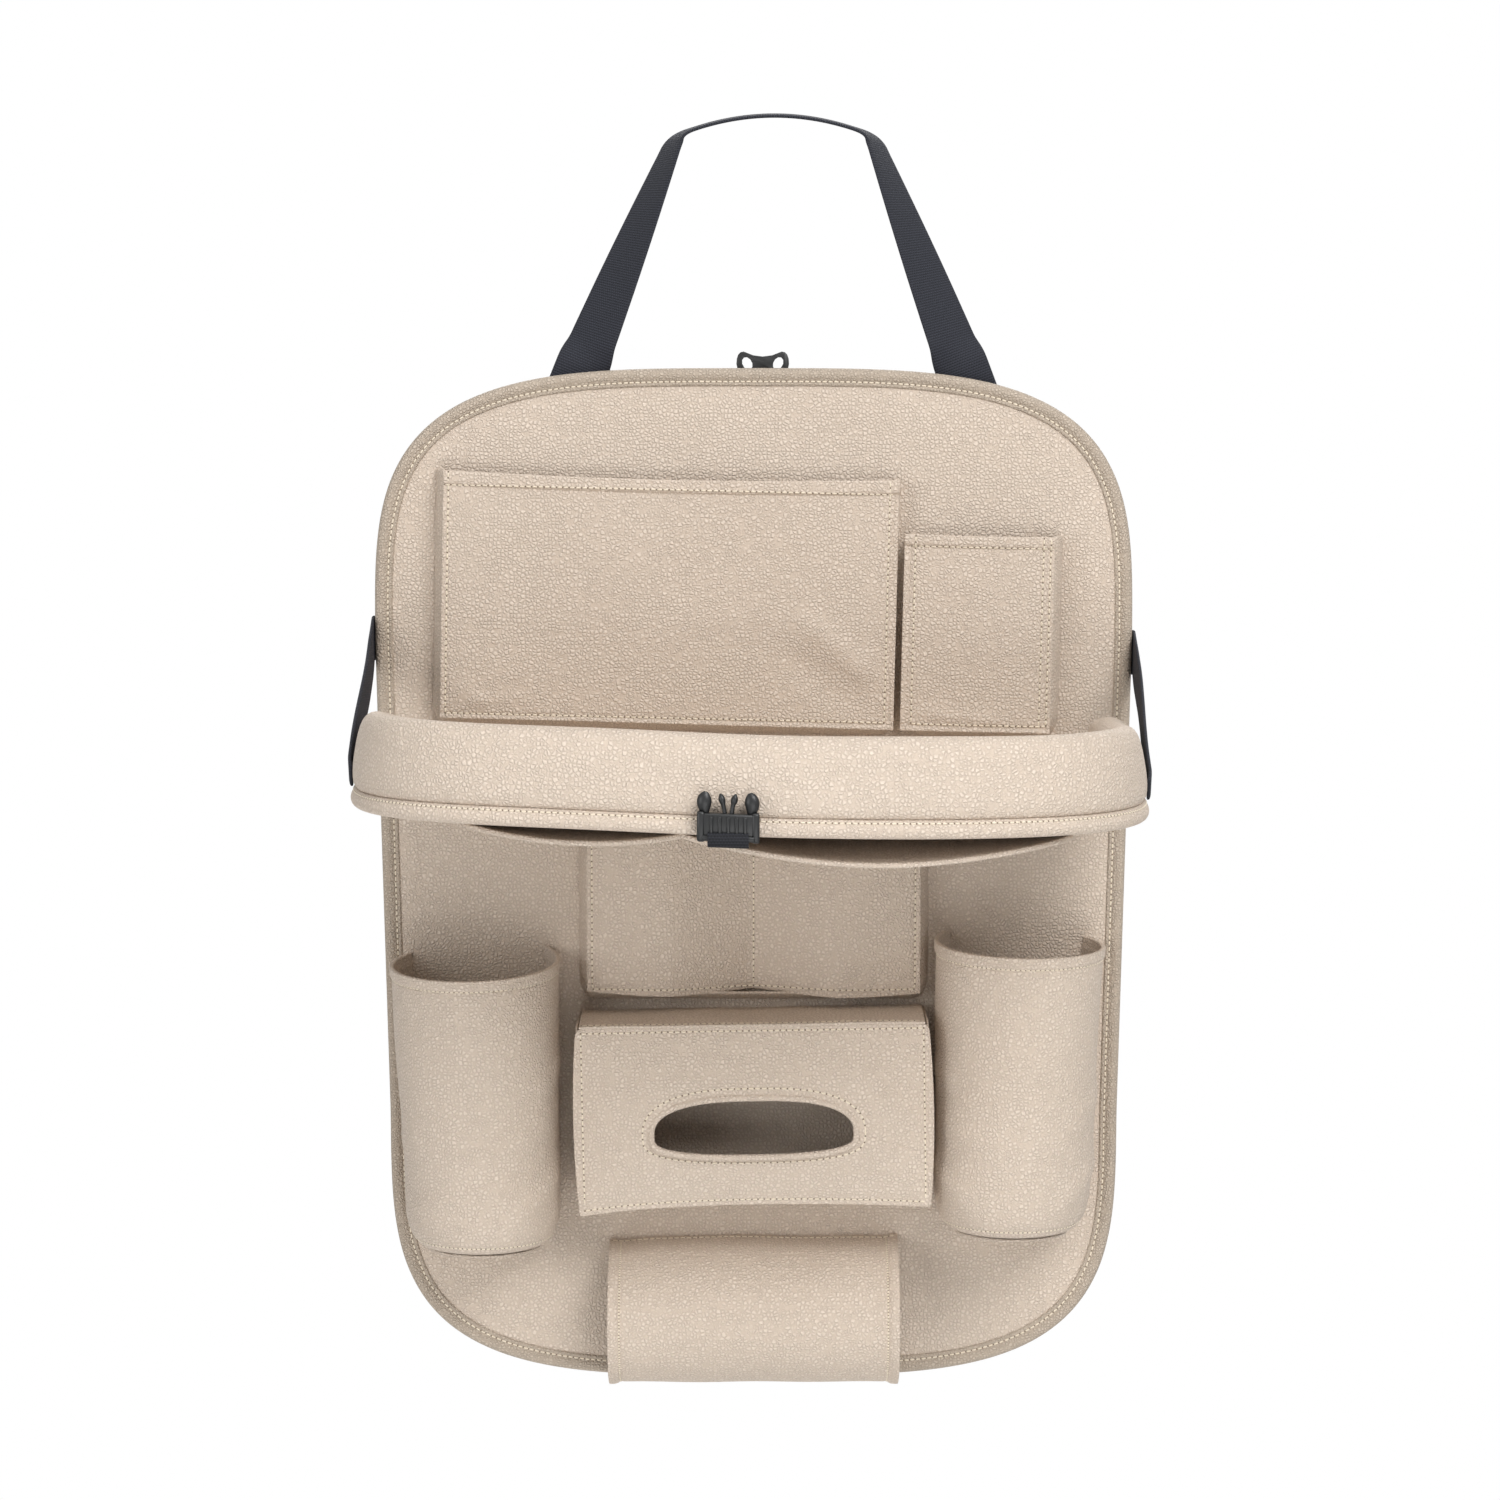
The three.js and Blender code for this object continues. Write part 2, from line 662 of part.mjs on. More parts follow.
// The plug half of a side-release buckle: a webbing frame, two sprung arms and two guides.
function makeTrayBuckle(tray) {
  const half = buckleWidth / 2;
  const bar = 3;
  const slotHeight = 3.6;
  const armWidth = 5.8;
  const guideWidth = 2.2;
  const guideSpread = 2.9;
  const rise = buckleBody;
  const frame = new THREE.Shape();
  frame.moveTo(-half + 1.5, 0);
  frame.lineTo(half - 1.5, 0);
  frame.quadraticCurveTo(half, 0, half, 2);
  frame.lineTo(half - 1, rise);
  frame.lineTo(-half + 1, rise);
  frame.lineTo(-half, 2);
  frame.quadraticCurveTo(-half, 0, -half + 1.5, 0);
  const slot = new THREE.Path();
  slot.moveTo(-tabWidth / 2 - 0.8, bar);
  slot.lineTo(-tabWidth / 2 - 0.8, bar + slotHeight);
  slot.lineTo(tabWidth / 2 + 0.8, bar + slotHeight);
  slot.lineTo(tabWidth / 2 + 0.8, bar);
  frame.holes.push(slot);
  const frontY = -trayDepth - 2.4;
  const body = uprightPlate(frame, frontY, buckleThickness);

  const armBack = frontY - (buckleThickness - prongThickness) / 2;
  const armShape = (side) => {
    const middle = side * (half - armWidth / 2);
    const shape = new THREE.Shape();
    shape.moveTo(middle - armWidth / 3, rise - 1);
    shape.lineTo(middle + armWidth / 3, rise - 1);
    shape.quadraticCurveTo(middle + armWidth * 0.75, rise + prongLength * 0.4, middle, rise + prongLength);
    shape.quadraticCurveTo(middle - armWidth * 0.75, rise + prongLength * 0.4, middle - armWidth / 3, rise - 1);
    return shape;
  };
  const guideShape = (side) => {
    const foot = side * guideWidth;
    const tip = side * guideSpread;
    const shape = new THREE.Shape();
    shape.moveTo(foot - guideWidth / 2, rise - 1);
    shape.lineTo(foot + guideWidth / 2, rise - 1);
    shape.lineTo(tip + guideWidth / 2, rise + prongLength - 1);
    shape.quadraticCurveTo(tip, rise + prongLength + 1, tip - guideWidth / 2, rise + prongLength - 1);
    return shape;
  };
  const loops = [armShape(-1), armShape(1), guideShape(-1), guideShape(1)];
  const prongs = loops.map((shape) => {
    const closed = new THREE.Shape(shape.getPoints(4).slice(1));
    return uprightPlate(closed, armBack, prongThickness);
  });
  const buckle = join(body, ...prongs);
  const lift = -buckleDrop;
  buckle.translate(buckleOffset, 0, lift);
  place("tray_buckle", buckle, "plastic", tray);

  const barMiddleZ = lift + bar / 2;
  const loopRadius = bar / 2 + seamGap + webbing / 2;
  const loopMiddleY = frontY - buckleThickness / 2;
  const sewnY = -trayDepth - seamGap;
  const reach = new THREE.CurvePath();
  const at = (y, z) => new THREE.Vector3(0, y, z);
  const outer = loopMiddleY - buckleThickness / 2 - 0.2;
  reach.add(new THREE.LineCurve3(at(sewnY, barMiddleZ + loopRadius), at(outer, barMiddleZ + loopRadius)));
  reach.add(new THREE.CubicBezierCurve3(
    at(outer, barMiddleZ + loopRadius),
    at(outer - 1.35 * loopRadius, barMiddleZ + loopRadius),
    at(outer - 1.35 * loopRadius, barMiddleZ - loopRadius),
    at(outer, barMiddleZ - loopRadius),
  ));
  reach.add(new THREE.LineCurve3(at(outer, barMiddleZ - loopRadius), at(sewnY, barMiddleZ - loopRadius)));
  const tab = sheet(16, 1, (u, v) => {
    const point = reach.getPoint(u);
    return point.setX(buckleOffset + (v - 0.5) * tabWidth);
  }, webbing);
  place("tray_buckle_tab", tab, "webbing", tray);
}

// The socket half hangs behind the panel's top edge, mouth up, on a short loop of webbing.
function makeSocket() {
  const bottom = panelTop + socketShow - socketHeight;
  const half = socketWidth / 2;
  const back = webbing + 2 * seamGap + socketThickness;
  const shell = new THREE.Shape();
  shell.moveTo(-half + 3, 0);
  shell.lineTo(half - 3, 0);
  shell.quadraticCurveTo(half - 1, socketHeight * 0.3, half, socketHeight * 0.62);
  shell.quadraticCurveTo(half, socketHeight, half - 4, socketHeight);
  shell.quadraticCurveTo(0, socketHeight - 5.5, -half + 4, socketHeight);
  shell.quadraticCurveTo(-half, socketHeight, -half, socketHeight * 0.62);
  shell.quadraticCurveTo(-half + 1, socketHeight * 0.3, -half + 3, 0);
  const outer = uprightPlate(shell, back, socketThickness, 0, 4);
  const middleY = back - socketThickness / 2;
  const floor = 7;
  const barThickness = 4;
  const cavity = box(
    socketWidth - 2 * socketWall - 4,
    socketThickness - 2 * socketWall,
    socketHeight,
    0,
    middleY,
    floor + socketHeight / 2,
  );
  const slot = box(tabWidth + 1.2, 2 * socketThickness, 2.8, 0, middleY, 4.2);
  const barRelief = (socketThickness - barThickness) / 2;
  const reliefs = [-1, 1].map((face) => {
    const y = middleY + (face * (barThickness + barRelief)) / 2;
    return box(tabWidth + 1.2, barRelief + 0.01, 5.6, 0, y, 2.8);
  });
  const windows = [-1, 1].map((side) => {
    const window = new THREE.CylinderGeometry(2.2, 2.2, 3 * socketThickness, 10);
    window.scale(1.2, 1, 1.7);
    window.rotateY(side * 0.5);
    window.translate(side * (half - 6), middleY, socketHeight - 6.5);
    return window;
  });
  const socket = cut(outer, cavity, slot, ...reliefs, ...windows);
  socket.translate(socketOffset, 0, bottom);
  place("buckle_socket", socket, "plastic");

  const near = webbing / 2 + seamGap;
  const far = back + webbing / 2 + seamGap;
  const turnZ = bottom + 2;
  const turnDrop = 4.4;
  const loop = new THREE.CurvePath();
  const at = (y, z) => new THREE.Vector3(socketOffset, y, z);
  loop.add(new THREE.LineCurve3(at(near, panelTop - 1), at(near, turnZ)));
  loop.add(new THREE.CubicBezierCurve3(
    at(near, turnZ), at(near, turnZ - turnDrop), at(far, turnZ - turnDrop), at(far, turnZ),
  ));
  loop.add(new THREE.LineCurve3(at(far, turnZ), at(far, bottom + 7)));
  const tab = sheet(18, 1, (u, v) => {
    const point = loop.getPoint(u);
    return point.setX(socketOffset + (v - 0.5) * tabWidth);
  }, webbing);
  place("buckle_socket_tab", tab, "webbing");
}

// The headrest strap is sewn behind the binding, and each leg turns a quarter turn on its way up.
function makeHeadrestStrap() {
  const sewnY = webbing / 2 + seamGap;
  const low = panelTop - sewnLength;
  const cornerZ = panelTop + headrestStrapRise - headrestArchRise;
  const leftX = headrestArchLeft;
  const rightX = headrestArchLeft + headrestArchWidth;
  const legHeight = cornerZ - low;
  const leg = (footX, cornerX, share) => {
    const z = low + share * legHeight;
    const free = Math.max(0, z - panelTop) / (cornerZ - panelTop);
    const lean = sewnY + headrestStrapLean * free ** 1.2;
    return new THREE.Vector3(THREE.MathUtils.lerp(footX, cornerX, share), lean, z);
  };
  const rise = (share) => cornerZ + headrestArchRise * (1 - (2 * share - 1) ** 2);
  const archPoint = (share) => new THREE.Vector3(
    THREE.MathUtils.lerp(leftX, rightX, share), sewnY + headrestStrapLean, rise(share),
  );
  const legShares = [0, sewnLength / legHeight, 0.25, 0.5, 0.75, 0.97];
  const points = [
    ...legShares.map((share) => leg(headrestStrapLeft, leftX, share)),
    ...[0.04, 0.25, 0.5, 0.75, 0.96].map(archPoint),
    ...[...legShares].reverse().map((share) => leg(headrestStrapRight, rightX, share)),
  ];
  const curve = new THREE.CatmullRomCurve3(points, false, "centripetal");
  const turnAt = (z) => {
    const share = THREE.MathUtils.clamp((z - panelTop) / (cornerZ - panelTop), 0, 1);
    const twist = THREE.MathUtils.smoothstep(share, 0, 0.12) * 22 + 50 * share;
    const flat = THREE.MathUtils.smoothstep(z, cornerZ - 6, cornerZ + 4) * 12;
    return THREE.MathUtils.degToRad(twist + flat);
  };
  const back = new THREE.Vector3(0, 1, 0);
  const strap = sheet(56, 1, (u, v) => {
    const point = curve.getPointAt(u);
    const tangent = curve.getTangentAt(u);
    const outwards = tangent.clone().cross(back).normalize();
    const across = back.clone().addScaledVector(tangent, -back.dot(tangent)).normalize();
    const turn = turnAt(point.z);
    const width = outwards.multiplyScalar(Math.cos(turn)).addScaledVector(across, Math.sin(turn));
    return point.addScaledVector(width, (v - 0.5) * headrestStrapWidth);
  }, webbing);
  place("headrest_strap", strap, "webbing");
}

// A stay strap runs from behind the binding, round the panel's side, to the seam under the rim.
function makeStayStrap(name, side, startZ) {
  const endZ = trayLevel - leather + (stayWidth - stayTaper) / 2 + seamGap;
  const endY = hingeY - stayReach;
  const clear = webbing / 2 + seamGap;
  const edgeX = panelTopWidth / 2 + clear;
  const rimX = trayHalfWidth(stayReach, rimSetback) + clear + seamGap;
  const turnRadius = 4;
  const turnShare = 0.16;
  const strap = sheet(26, 1, (u, v) => {
    const round = THREE.MathUtils.clamp(2 * (u / turnShare) - 1, 0, 1) * (Math.PI / 2);
    const straight = Math.max(0, 1 - 2 * (u / turnShare)) * sewnLength;
    const forward = THREE.MathUtils.clamp((u - turnShare) / (1 - turnShare), 0, 1);
    const turnX = edgeX - turnRadius * (1 - Math.sin(round)) - straight;
    const turnY = clear - turnRadius * (1 - Math.cos(round));
    const x = THREE.MathUtils.lerp(turnX, rimX, forward);
    const y = THREE.MathUtils.lerp(turnY, endY, forward);
    const z = THREE.MathUtils.lerp(startZ, endZ, forward);
    const width = stayWidth - stayTaper * forward ** 3;
    const slope = (startZ - endZ) / (clear - turnRadius - endY);
    const lean = slope * THREE.MathUtils.smoothstep(forward, 0, 0.15);
    return new THREE.Vector3(side * x, y - lean * (v - 0.5) * width, z + (v - 0.5) * width);
  }, webbing);
  place(name, strap, "webbing");
}

makePanel();
makeUpperPockets();
makeBottlePocket("left_bottle_pocket", -1, leftBottleInner, leftBottleTop, bottleMouthDip);
makeBottlePocket("right_bottle_pocket", 1, rightBottleInner, rightBottleTop, bottleMouthDip / 2);
makeCentrePocket();
makeTissuePocket();
makeUmbrellaSleeve();
makeHingeStrip();
makeTray();
makeSocket();
makeHeadrestStrap();
makeStayStrap("left_stay_strap", -1, trayLevel + stayAboveTray);
makeStayStrap("right_stay_strap", 1, trayLevel + stayAboveTray - stayDrop);

export default bag;
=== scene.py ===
# A car seat's storage bag in pebbled leather, with a fold-out tray, black webbing and a moulded buckle.
# X runs to the right, Z runs up and -Y points at the person who uses it. Shapes are drawn in millimetres.
from math import cos, pi, radians, sin

import bpy
import numpy as np
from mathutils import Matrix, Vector
from mathutils.bvhtree import BVHTree


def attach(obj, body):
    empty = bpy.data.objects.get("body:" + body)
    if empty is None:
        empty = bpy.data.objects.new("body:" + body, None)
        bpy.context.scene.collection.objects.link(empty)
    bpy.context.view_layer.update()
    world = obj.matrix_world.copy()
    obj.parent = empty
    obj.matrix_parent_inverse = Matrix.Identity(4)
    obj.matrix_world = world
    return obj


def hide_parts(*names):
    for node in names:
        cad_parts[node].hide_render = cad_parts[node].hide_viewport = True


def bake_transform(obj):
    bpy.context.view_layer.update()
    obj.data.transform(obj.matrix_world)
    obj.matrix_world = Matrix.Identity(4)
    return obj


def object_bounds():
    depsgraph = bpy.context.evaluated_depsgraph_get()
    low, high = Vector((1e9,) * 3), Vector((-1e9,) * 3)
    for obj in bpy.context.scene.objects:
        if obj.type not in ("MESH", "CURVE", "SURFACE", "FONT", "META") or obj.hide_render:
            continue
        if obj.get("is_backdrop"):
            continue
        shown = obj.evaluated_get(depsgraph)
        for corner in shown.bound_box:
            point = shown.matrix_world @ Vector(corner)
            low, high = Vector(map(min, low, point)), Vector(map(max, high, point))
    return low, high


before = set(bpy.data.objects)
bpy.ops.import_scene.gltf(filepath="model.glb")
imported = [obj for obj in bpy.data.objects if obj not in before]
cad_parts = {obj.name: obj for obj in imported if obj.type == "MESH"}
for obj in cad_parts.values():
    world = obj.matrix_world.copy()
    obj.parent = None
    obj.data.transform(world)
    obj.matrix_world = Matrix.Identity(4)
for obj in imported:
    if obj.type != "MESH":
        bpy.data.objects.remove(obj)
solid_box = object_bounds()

MM = 0.001
LEATHER = 1.6  # one layer's thickness
HEMMED = 2.6  # a hem's thickness, of two layers pressed together
CORNER_POWER = 3.6  # how square the corners of the panel and the tray are
SEAM_GAP = 0.4  # how far a seam's leather stands off what it is sewn to
EDGE_SEAM = 3  # how far a seam runs inside a sheet's edge
LEAN_POWER = 2.3
NEEDLE_BACK, NEEDLE_REACH = 0.03, 0.13  # where the search for a stitch's place starts and ends, in metres

# The panel, with its middle at 0
FACE = -7.7  # Y of the leather's front
BINDING_FRONT = -9.9
PANEL_TOP = 282
TOP_HALF_WIDTH, TOP_RISE = 209, 150
FOOT_HALF_WIDTH, FOOT_RISE = 203, 152

# The pockets, as width and height
TABLET = 247, 136
PHONE = 80, 107
CENTRE = 184, 102
TISSUE = 192, 103
BOTTLE = 92, 161
SLEEVE = 161, 81
UPPER_TILT = 1.3
UPPER_FOOT = 85
TABLET_RIGHT = 74.5
PHONE_GAP = 8.5
CENTRE_FOOT = -62
TISSUE_TOP = -73
TISSUE_TILT = -1
TISSUE_DEPTH = 52
TISSUE_TUCK = 3.8  # how far its front's lower edge leans back to the panel
SLOT_Z = -7.2  # the slot's middle, from the middle of the front
BOTTLE_STANDOFF = 26
BOTTLE_HEM, BOTTLE_SEAM = 153.5, 4  # heights of the two rows of stitches
SLEEVE_DEPTH = 44
SLEEVE_SEAM = 74

# The tray, drawn from its hinge
HINGE_Y = -47.1
TRAY_LEVEL = 67.4
TRAY_HALF_WIDTH, TRAY_DEPTH, TRAY_RISE = 205.5, 214, 150
TRAY_SIDE = TRAY_DEPTH - TRAY_RISE  # the straight part of its sides
LINE_INSET = 12  # the line that its edge and rim are drawn from
HINGE_GAP = 0.5
RIM_HEIGHT, RIM_DROP, RIM_TAPER = 36.4, 10, 115  # the rim is lower at the hinge
UNDER_LEFT, UNDER_SEAM, UNDER_RIGHT = -140, -33, 160  # X of the seams of the pocket under the tray
UNDER_INSET, UNDER_DEPTH = 13, 140

# Webbing
WEBBING = 1.8
HEADREST_WIDTH = 30
STAY_WIDTH, STAY_TAPER = 25, 14
BUCKLE_X, BUCKLE_Y = -10.5, -266.5
tray_pieces = []


# Working with meshes

def deselect():
    bpy.ops.object.select_all(action="DESELECT")


def add_object(name, data):
    piece = bpy.data.objects.new(name, data)
    bpy.context.scene.collection.objects.link(piece)
    return piece


def make_active(piece):
    deselect()
    piece.select_set(True)
    bpy.context.view_layer.objects.active = piece


def apply_modifiers(piece):
    make_active(piece)
    for modifier in list(piece.modifiers):
        bpy.ops.object.modifier_apply(modifier=modifier.name)


def edit_all(*steps):
    """Runs operators in edit mode, each with its settings, on all of the active piece."""
    bpy.ops.object.mode_set(mode="EDIT")
    bpy.ops.mesh.select_all(action="SELECT")
    for step, settings in steps:
        step(**settings)
    bpy.ops.object.mode_set(mode="OBJECT")


def points_of(piece):
    flat = np.empty(len(piece.data.vertices) * 3)
    piece.data.vertices.foreach_get("co", flat)
    return flat.reshape(-1, 3) / MM


def move_points(piece, points):
    piece.data.vertices.foreach_set("co", (points * MM).ravel())
    piece.data.update()


def surface(name, points):
    """A smooth mesh through rows of points. Rows or columns that meet are joined, so it can close."""
    rows, columns = points.shape[:2]
    deselect()
    bpy.ops.mesh.primitive_grid_add(x_subdivisions=columns - 1, y_subdivisions=rows - 1, size=2)
    piece = bpy.context.object
    piece.name = piece.data.name = name
    places = points_of(piece)
    order = np.lexsort((np.round(places[:, 0], 2), np.round(places[:, 1], 2)))
    places[order] = points.reshape(-1, 3)
    move_points(piece, places)
    edit_all((bpy.ops.mesh.remove_doubles, {"threshold": 0.01 * MM}),
             (bpy.ops.mesh.normals_make_consistent, {"inside": False}))
    bpy.ops.object.shade_smooth()
    return piece


def ringed(name, rings):
    """A mesh through rings of points that close on themselves."""
    rings = np.array(rings)
    return surface(name, np.concatenate([rings, rings[:, :1]], axis=1))


def thicken(piece, thickness, weights=None, levels=1):
    """Gives a sheet its thickness, less where weights are under 1, and rounds its cut edges."""
    wall = piece.modifiers.new("Leather", "SOLIDIFY")
    wall.thickness = thickness * MM
    wall.offset = 0
    if weights is not None:
        group = piece.vertex_groups.new(name="thick")
        for index, weight in enumerate(weights.ravel()):
            group.add([index], float(weight), "REPLACE")
        wall.vertex_group = "thick"
    if levels:
        soft = piece.modifiers.new("Soft", "SUBSURF")
        soft.levels = soft.render_levels = levels
    apply_modifiers(piece)
    edit_all((bpy.ops.mesh.normals_make_consistent, {"inside": False}))
    return piece


def soften(piece):
    soft = piece.modifiers.new("Soft", "SUBSURF")
    soft.levels = soft.render_levels = 1
    apply_modifiers(piece)
    return piece


def finish(piece, material, body, slot, *nodes):
    """Gives a piece its material and its body, and names the nodes that it stands for."""
    piece.data.materials.clear()
    piece.data.materials.append(material)
    if body == "tray":
        tray_pieces.append(piece)
    if body is not None:
        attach(piece, body)
    if nodes:
        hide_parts(*nodes)
    return piece


def leather_sheet(name, points, body, node=None, thickness=LEATHER, weights=None):
    """A sheet of the beige leather through rows of points."""
    sheet = thicken(surface(name, points), thickness, weights)
    return finish(sheet, leather, body, "leather", *([node] if node else []))


# Lines and outlines

def unit(rows):
    return rows / np.linalg.norm(rows, axis=1)[:, None]


def at(x, y, z):
    """Points from their coordinates, of which any may be one number for all of them."""
    return np.stack(np.broadcast_arrays(x, y, z), axis=-1).astype(float)


def ease(share):
    """The share from 0 to 1 with a soft start and end."""
    share = np.clip(share, 0, 1)
    return share * share * (3 - 2 * share)


def spread(start, end, seams=(), coarse=4.0, fine=0.8, reach=2.5):
    """Grid lines from start to end that lie close together near each seam."""
    places = [start]
    while places[-1] < end:
        near = min((abs(places[-1] - seam) for seam in seams), default=1000)
        places.append(places[-1] + (fine if near < reach else min(coarse, fine + (near - reach) * 0.4)))
    places = np.array(places)
    return start + (places - start) * (end - start) / (places[-1] - start)


def resample(line, count=None, spacing=None):
    """Points at even distances along a line."""
    line = np.asarray(line, dtype=float)
    steps = np.linalg.norm(np.diff(line, axis=0), axis=1)
    line = line[np.concatenate([[True], steps > 1e-9])]
    length = np.concatenate([[0], np.cumsum(np.linalg.norm(np.diff(line, axis=0), axis=1))])
    count = count or max(2, int(round(length[-1] / spacing)) + 1)
    places = np.linspace(0, length[-1], count)
    return np.stack([np.interp(places, length, line[:, k]) for k in range(line.shape[1])], axis=1)


def smooth_line(line, passes):
    for _ in range(passes):
        middle = (line[:-2] + 2 * line[1:-1] + line[2:]) / 4
        line = np.concatenate([line[:1], middle, line[-1:]])
    return line


def outward(line):
    """The outward side at each point of a closed line that runs anticlockwise and ends where it starts."""
    along = unit(np.roll(line[:-1], -1, axis=0) - np.roll(line[:-1], 1, axis=0))
    along = np.concatenate([along, along[:1]])
    return np.stack([along[:, 1], -along[:, 0]], axis=1)


def groove(distance, width=1.1):
    """The dip that a row of stitches pulls in the leather, 1 on the seam and 0 away from it."""
    return np.exp(-(distance / width) ** 2)


def ripple(x, z, size, seed):
    """The slow unevenness of soft leather, between about -1 and 1."""
    total = 0
    for k, turn in enumerate((0.3, 1.4, 2.3, 4.1)):
        along = x * cos(turn + seed) + z * sin(turn + seed)
        total = total + np.sin(2 * pi * along / (size * (1 + 0.37 * k)) + seed * (k + 1.7)) / (1 + 0.5 * k)
    return total / 2.2


def creases(x, z, *folds):
    """Soft folds, each given by its start, its end, its width and its height."""
    total = 0
    for start, end, width, size in folds:
        along = np.array(end, dtype=float) - start
        length = np.linalg.norm(along)
        along /= length
        share = ((x - start[0]) * along[0] + (z - start[1]) * along[1]) / length
        aside = (x - start[0]) * along[1] - (z - start[1]) * along[0]
        ends = np.clip(np.minimum(share, 1 - share) * 3 + 0.3, 0, 1)
        total = total + size * np.exp(-(aside / width) ** 2) * ends ** 2
    return total


def rounded_corner(half_width, rise, steps=40):
    """Points from (half_width, 0) round to (0, rise) on the bag's corner curve."""
    turn = np.linspace(0, pi / 2, steps)
    across = half_width * np.clip(np.cos(turn), 0, 1) ** (2 / CORNER_POWER)
    return np.stack([across, rise * np.sin(turn) ** (2 / CORNER_POWER)], axis=1)


def panel_outline(inset):
    """The panel's outline in X and Z, set in from its edge and closed, and its outward side."""
    top = rounded_corner(TOP_HALF_WIDTH, TOP_RISE)
    bottom = rounded_corner(FOOT_HALF_WIDTH, FOOT_RISE)
    shoulder, hip = [0, PANEL_TOP - TOP_RISE], [0, FOOT_RISE - PANEL_TOP]
    line = resample(np.concatenate([
        top * [1, 1] + shoulder,
        top[::-1] * [-1, 1] + shoulder,
        bottom * [-1, -1] + hip,
        bottom[::-1] * [1, -1] + hip,
        [[TOP_HALF_WIDTH, shoulder[1]]],
    ]), 401)
    out = outward(line)
    return line - out * inset, out


def tray_line():
    """The line inside the tray's edge, from the left hinge end round the front, and its outward side."""
    half = TRAY_HALF_WIDTH - LINE_INSET
    corner = rounded_corner(half, TRAY_RISE - LINE_INSET)
    line = resample(np.concatenate([
        [[-half, -HINGE_GAP]],
        corner * [-1, -1] + [0, -TRAY_SIDE],
        corner[::-1] * [1, -1] + [0, -TRAY_SIDE],
        [[half, -HINGE_GAP]],
    ]), 200)
    along = unit(np.gradient(line, axis=0))
    return line, np.stack([along[:, 1], -along[:, 0]], axis=1)


def under_front(x):
    """How far the mouth of the pocket under the tray is from the hinge."""
    across = np.abs(x) / (TRAY_HALF_WIDTH - UNDER_INSET)
    return TRAY_SIDE + (TRAY_RISE - UNDER_INSET) * (1 - across ** CORNER_POWER) ** (1 / CORNER_POWER)


def upright(origin, degrees=0):
    """Places points drawn on an upright pocket, turned in the picture by that many degrees."""
    turn = radians(degrees)

    def put(x, y, z):
        return at(origin[0] + x * cos(turn) + z * sin(turn), origin[1] + y,
                  origin[2] - x * sin(turn) + z * cos(turn))
    return put


def swept(name, line, side, section):
    """A closed tube along the tray's line. Its section is drawn as (distance inside the edge, height)."""
    rings = []
    for (x, y), (out_x, out_y) in zip(line, side):
        ring = []
        for inside, height in section(y):
            out = LINE_INSET - inside
            ring.append((x + out_x * out, y + out_y * out + HINGE_Y, height + TRAY_LEVEL))
        rings.append(ring + ring[:1])
    rings = np.array(rings)
    caps = []
    for ring in (rings[:1], rings[-1:]):
        middle = ring[:, :-1].mean(axis=1, keepdims=True)
        caps.append([middle + (ring - middle) * share for share in (0, 0.5, 0.85, 0.97)])
    return surface(name, np.concatenate(caps[0] + [rings] + caps[1][::-1]))


# Materials

def linear(hex_colour):
    """An sRGB hex colour as linear red, green, blue and alpha."""
    parts = [int(hex_colour[k:k + 2], 16) / 255 for k in (1, 3, 5)]
    return [*(p / 12.92 if p <= 0.04045 else ((p + 0.055) / 1.055) ** 2.4 for p in parts), 1]


def add_node(tree, kind, inputs=None, **settings):
    """Adds a node with its settings, and sets or links its inputs."""
    made = tree.nodes.new("ShaderNode" + kind)
    for key, value in settings.items():
        setattr(made, key, value)
    for key, value in (inputs or {}).items():
        if isinstance(value, bpy.types.NodeSocket):
            tree.links.new(value, made.inputs[key])
        else:
            made.inputs[key].default_value = value
    return made.outputs


def calculate(tree, operation, *values):
    return add_node(tree, "Math", dict(enumerate(values)), operation=operation)["Value"]


def noise(tree, place, size, detail, distortion=0):
    """Noise whose broadest lumps are size millimetres wide."""
    inputs = {"Vector": place, "Scale": 1 / (size * MM), "Detail": detail, "Distortion": distortion}
    return add_node(tree, "TexNoise", inputs)


def remap(tree, value, start=(0, 1), end=(0, 1), **settings):
    inputs = {"Value": value, "From Min": start[0], "From Max": start[1], "To Min": end[0], "To Max": end[1]}
    return add_node(tree, "MapRange", inputs, **settings)["Result"]


def new_material(name, **values):
    material = bpy.data.materials.new(name)
    material.use_nodes = True
    tree = material.node_tree
    shader = tree.nodes["Principled BSDF"]
    for key, value in values.items():
        shader.inputs[key.replace("_", " ")].default_value = value
    return material, tree, shader


def place_of(tree):
    return add_node(tree, "TexCoord")["Object"]


def colour_between(tree, shader, share, dark, light):
    ends = {"Factor": share, "A": linear(dark), "B": linear(light)}
    colour = add_node(tree, "Mix", ends, data_type="RGBA")
    tree.links.new(colour["Result"], shader.inputs["Base Color"])


def emboss(tree, shader, height, strength, depth):
    relief = add_node(tree, "Bump", {"Strength": strength, "Distance": depth * MM, "Height": height})
    tree.links.new(relief["Normal"], shader.inputs["Normal"])


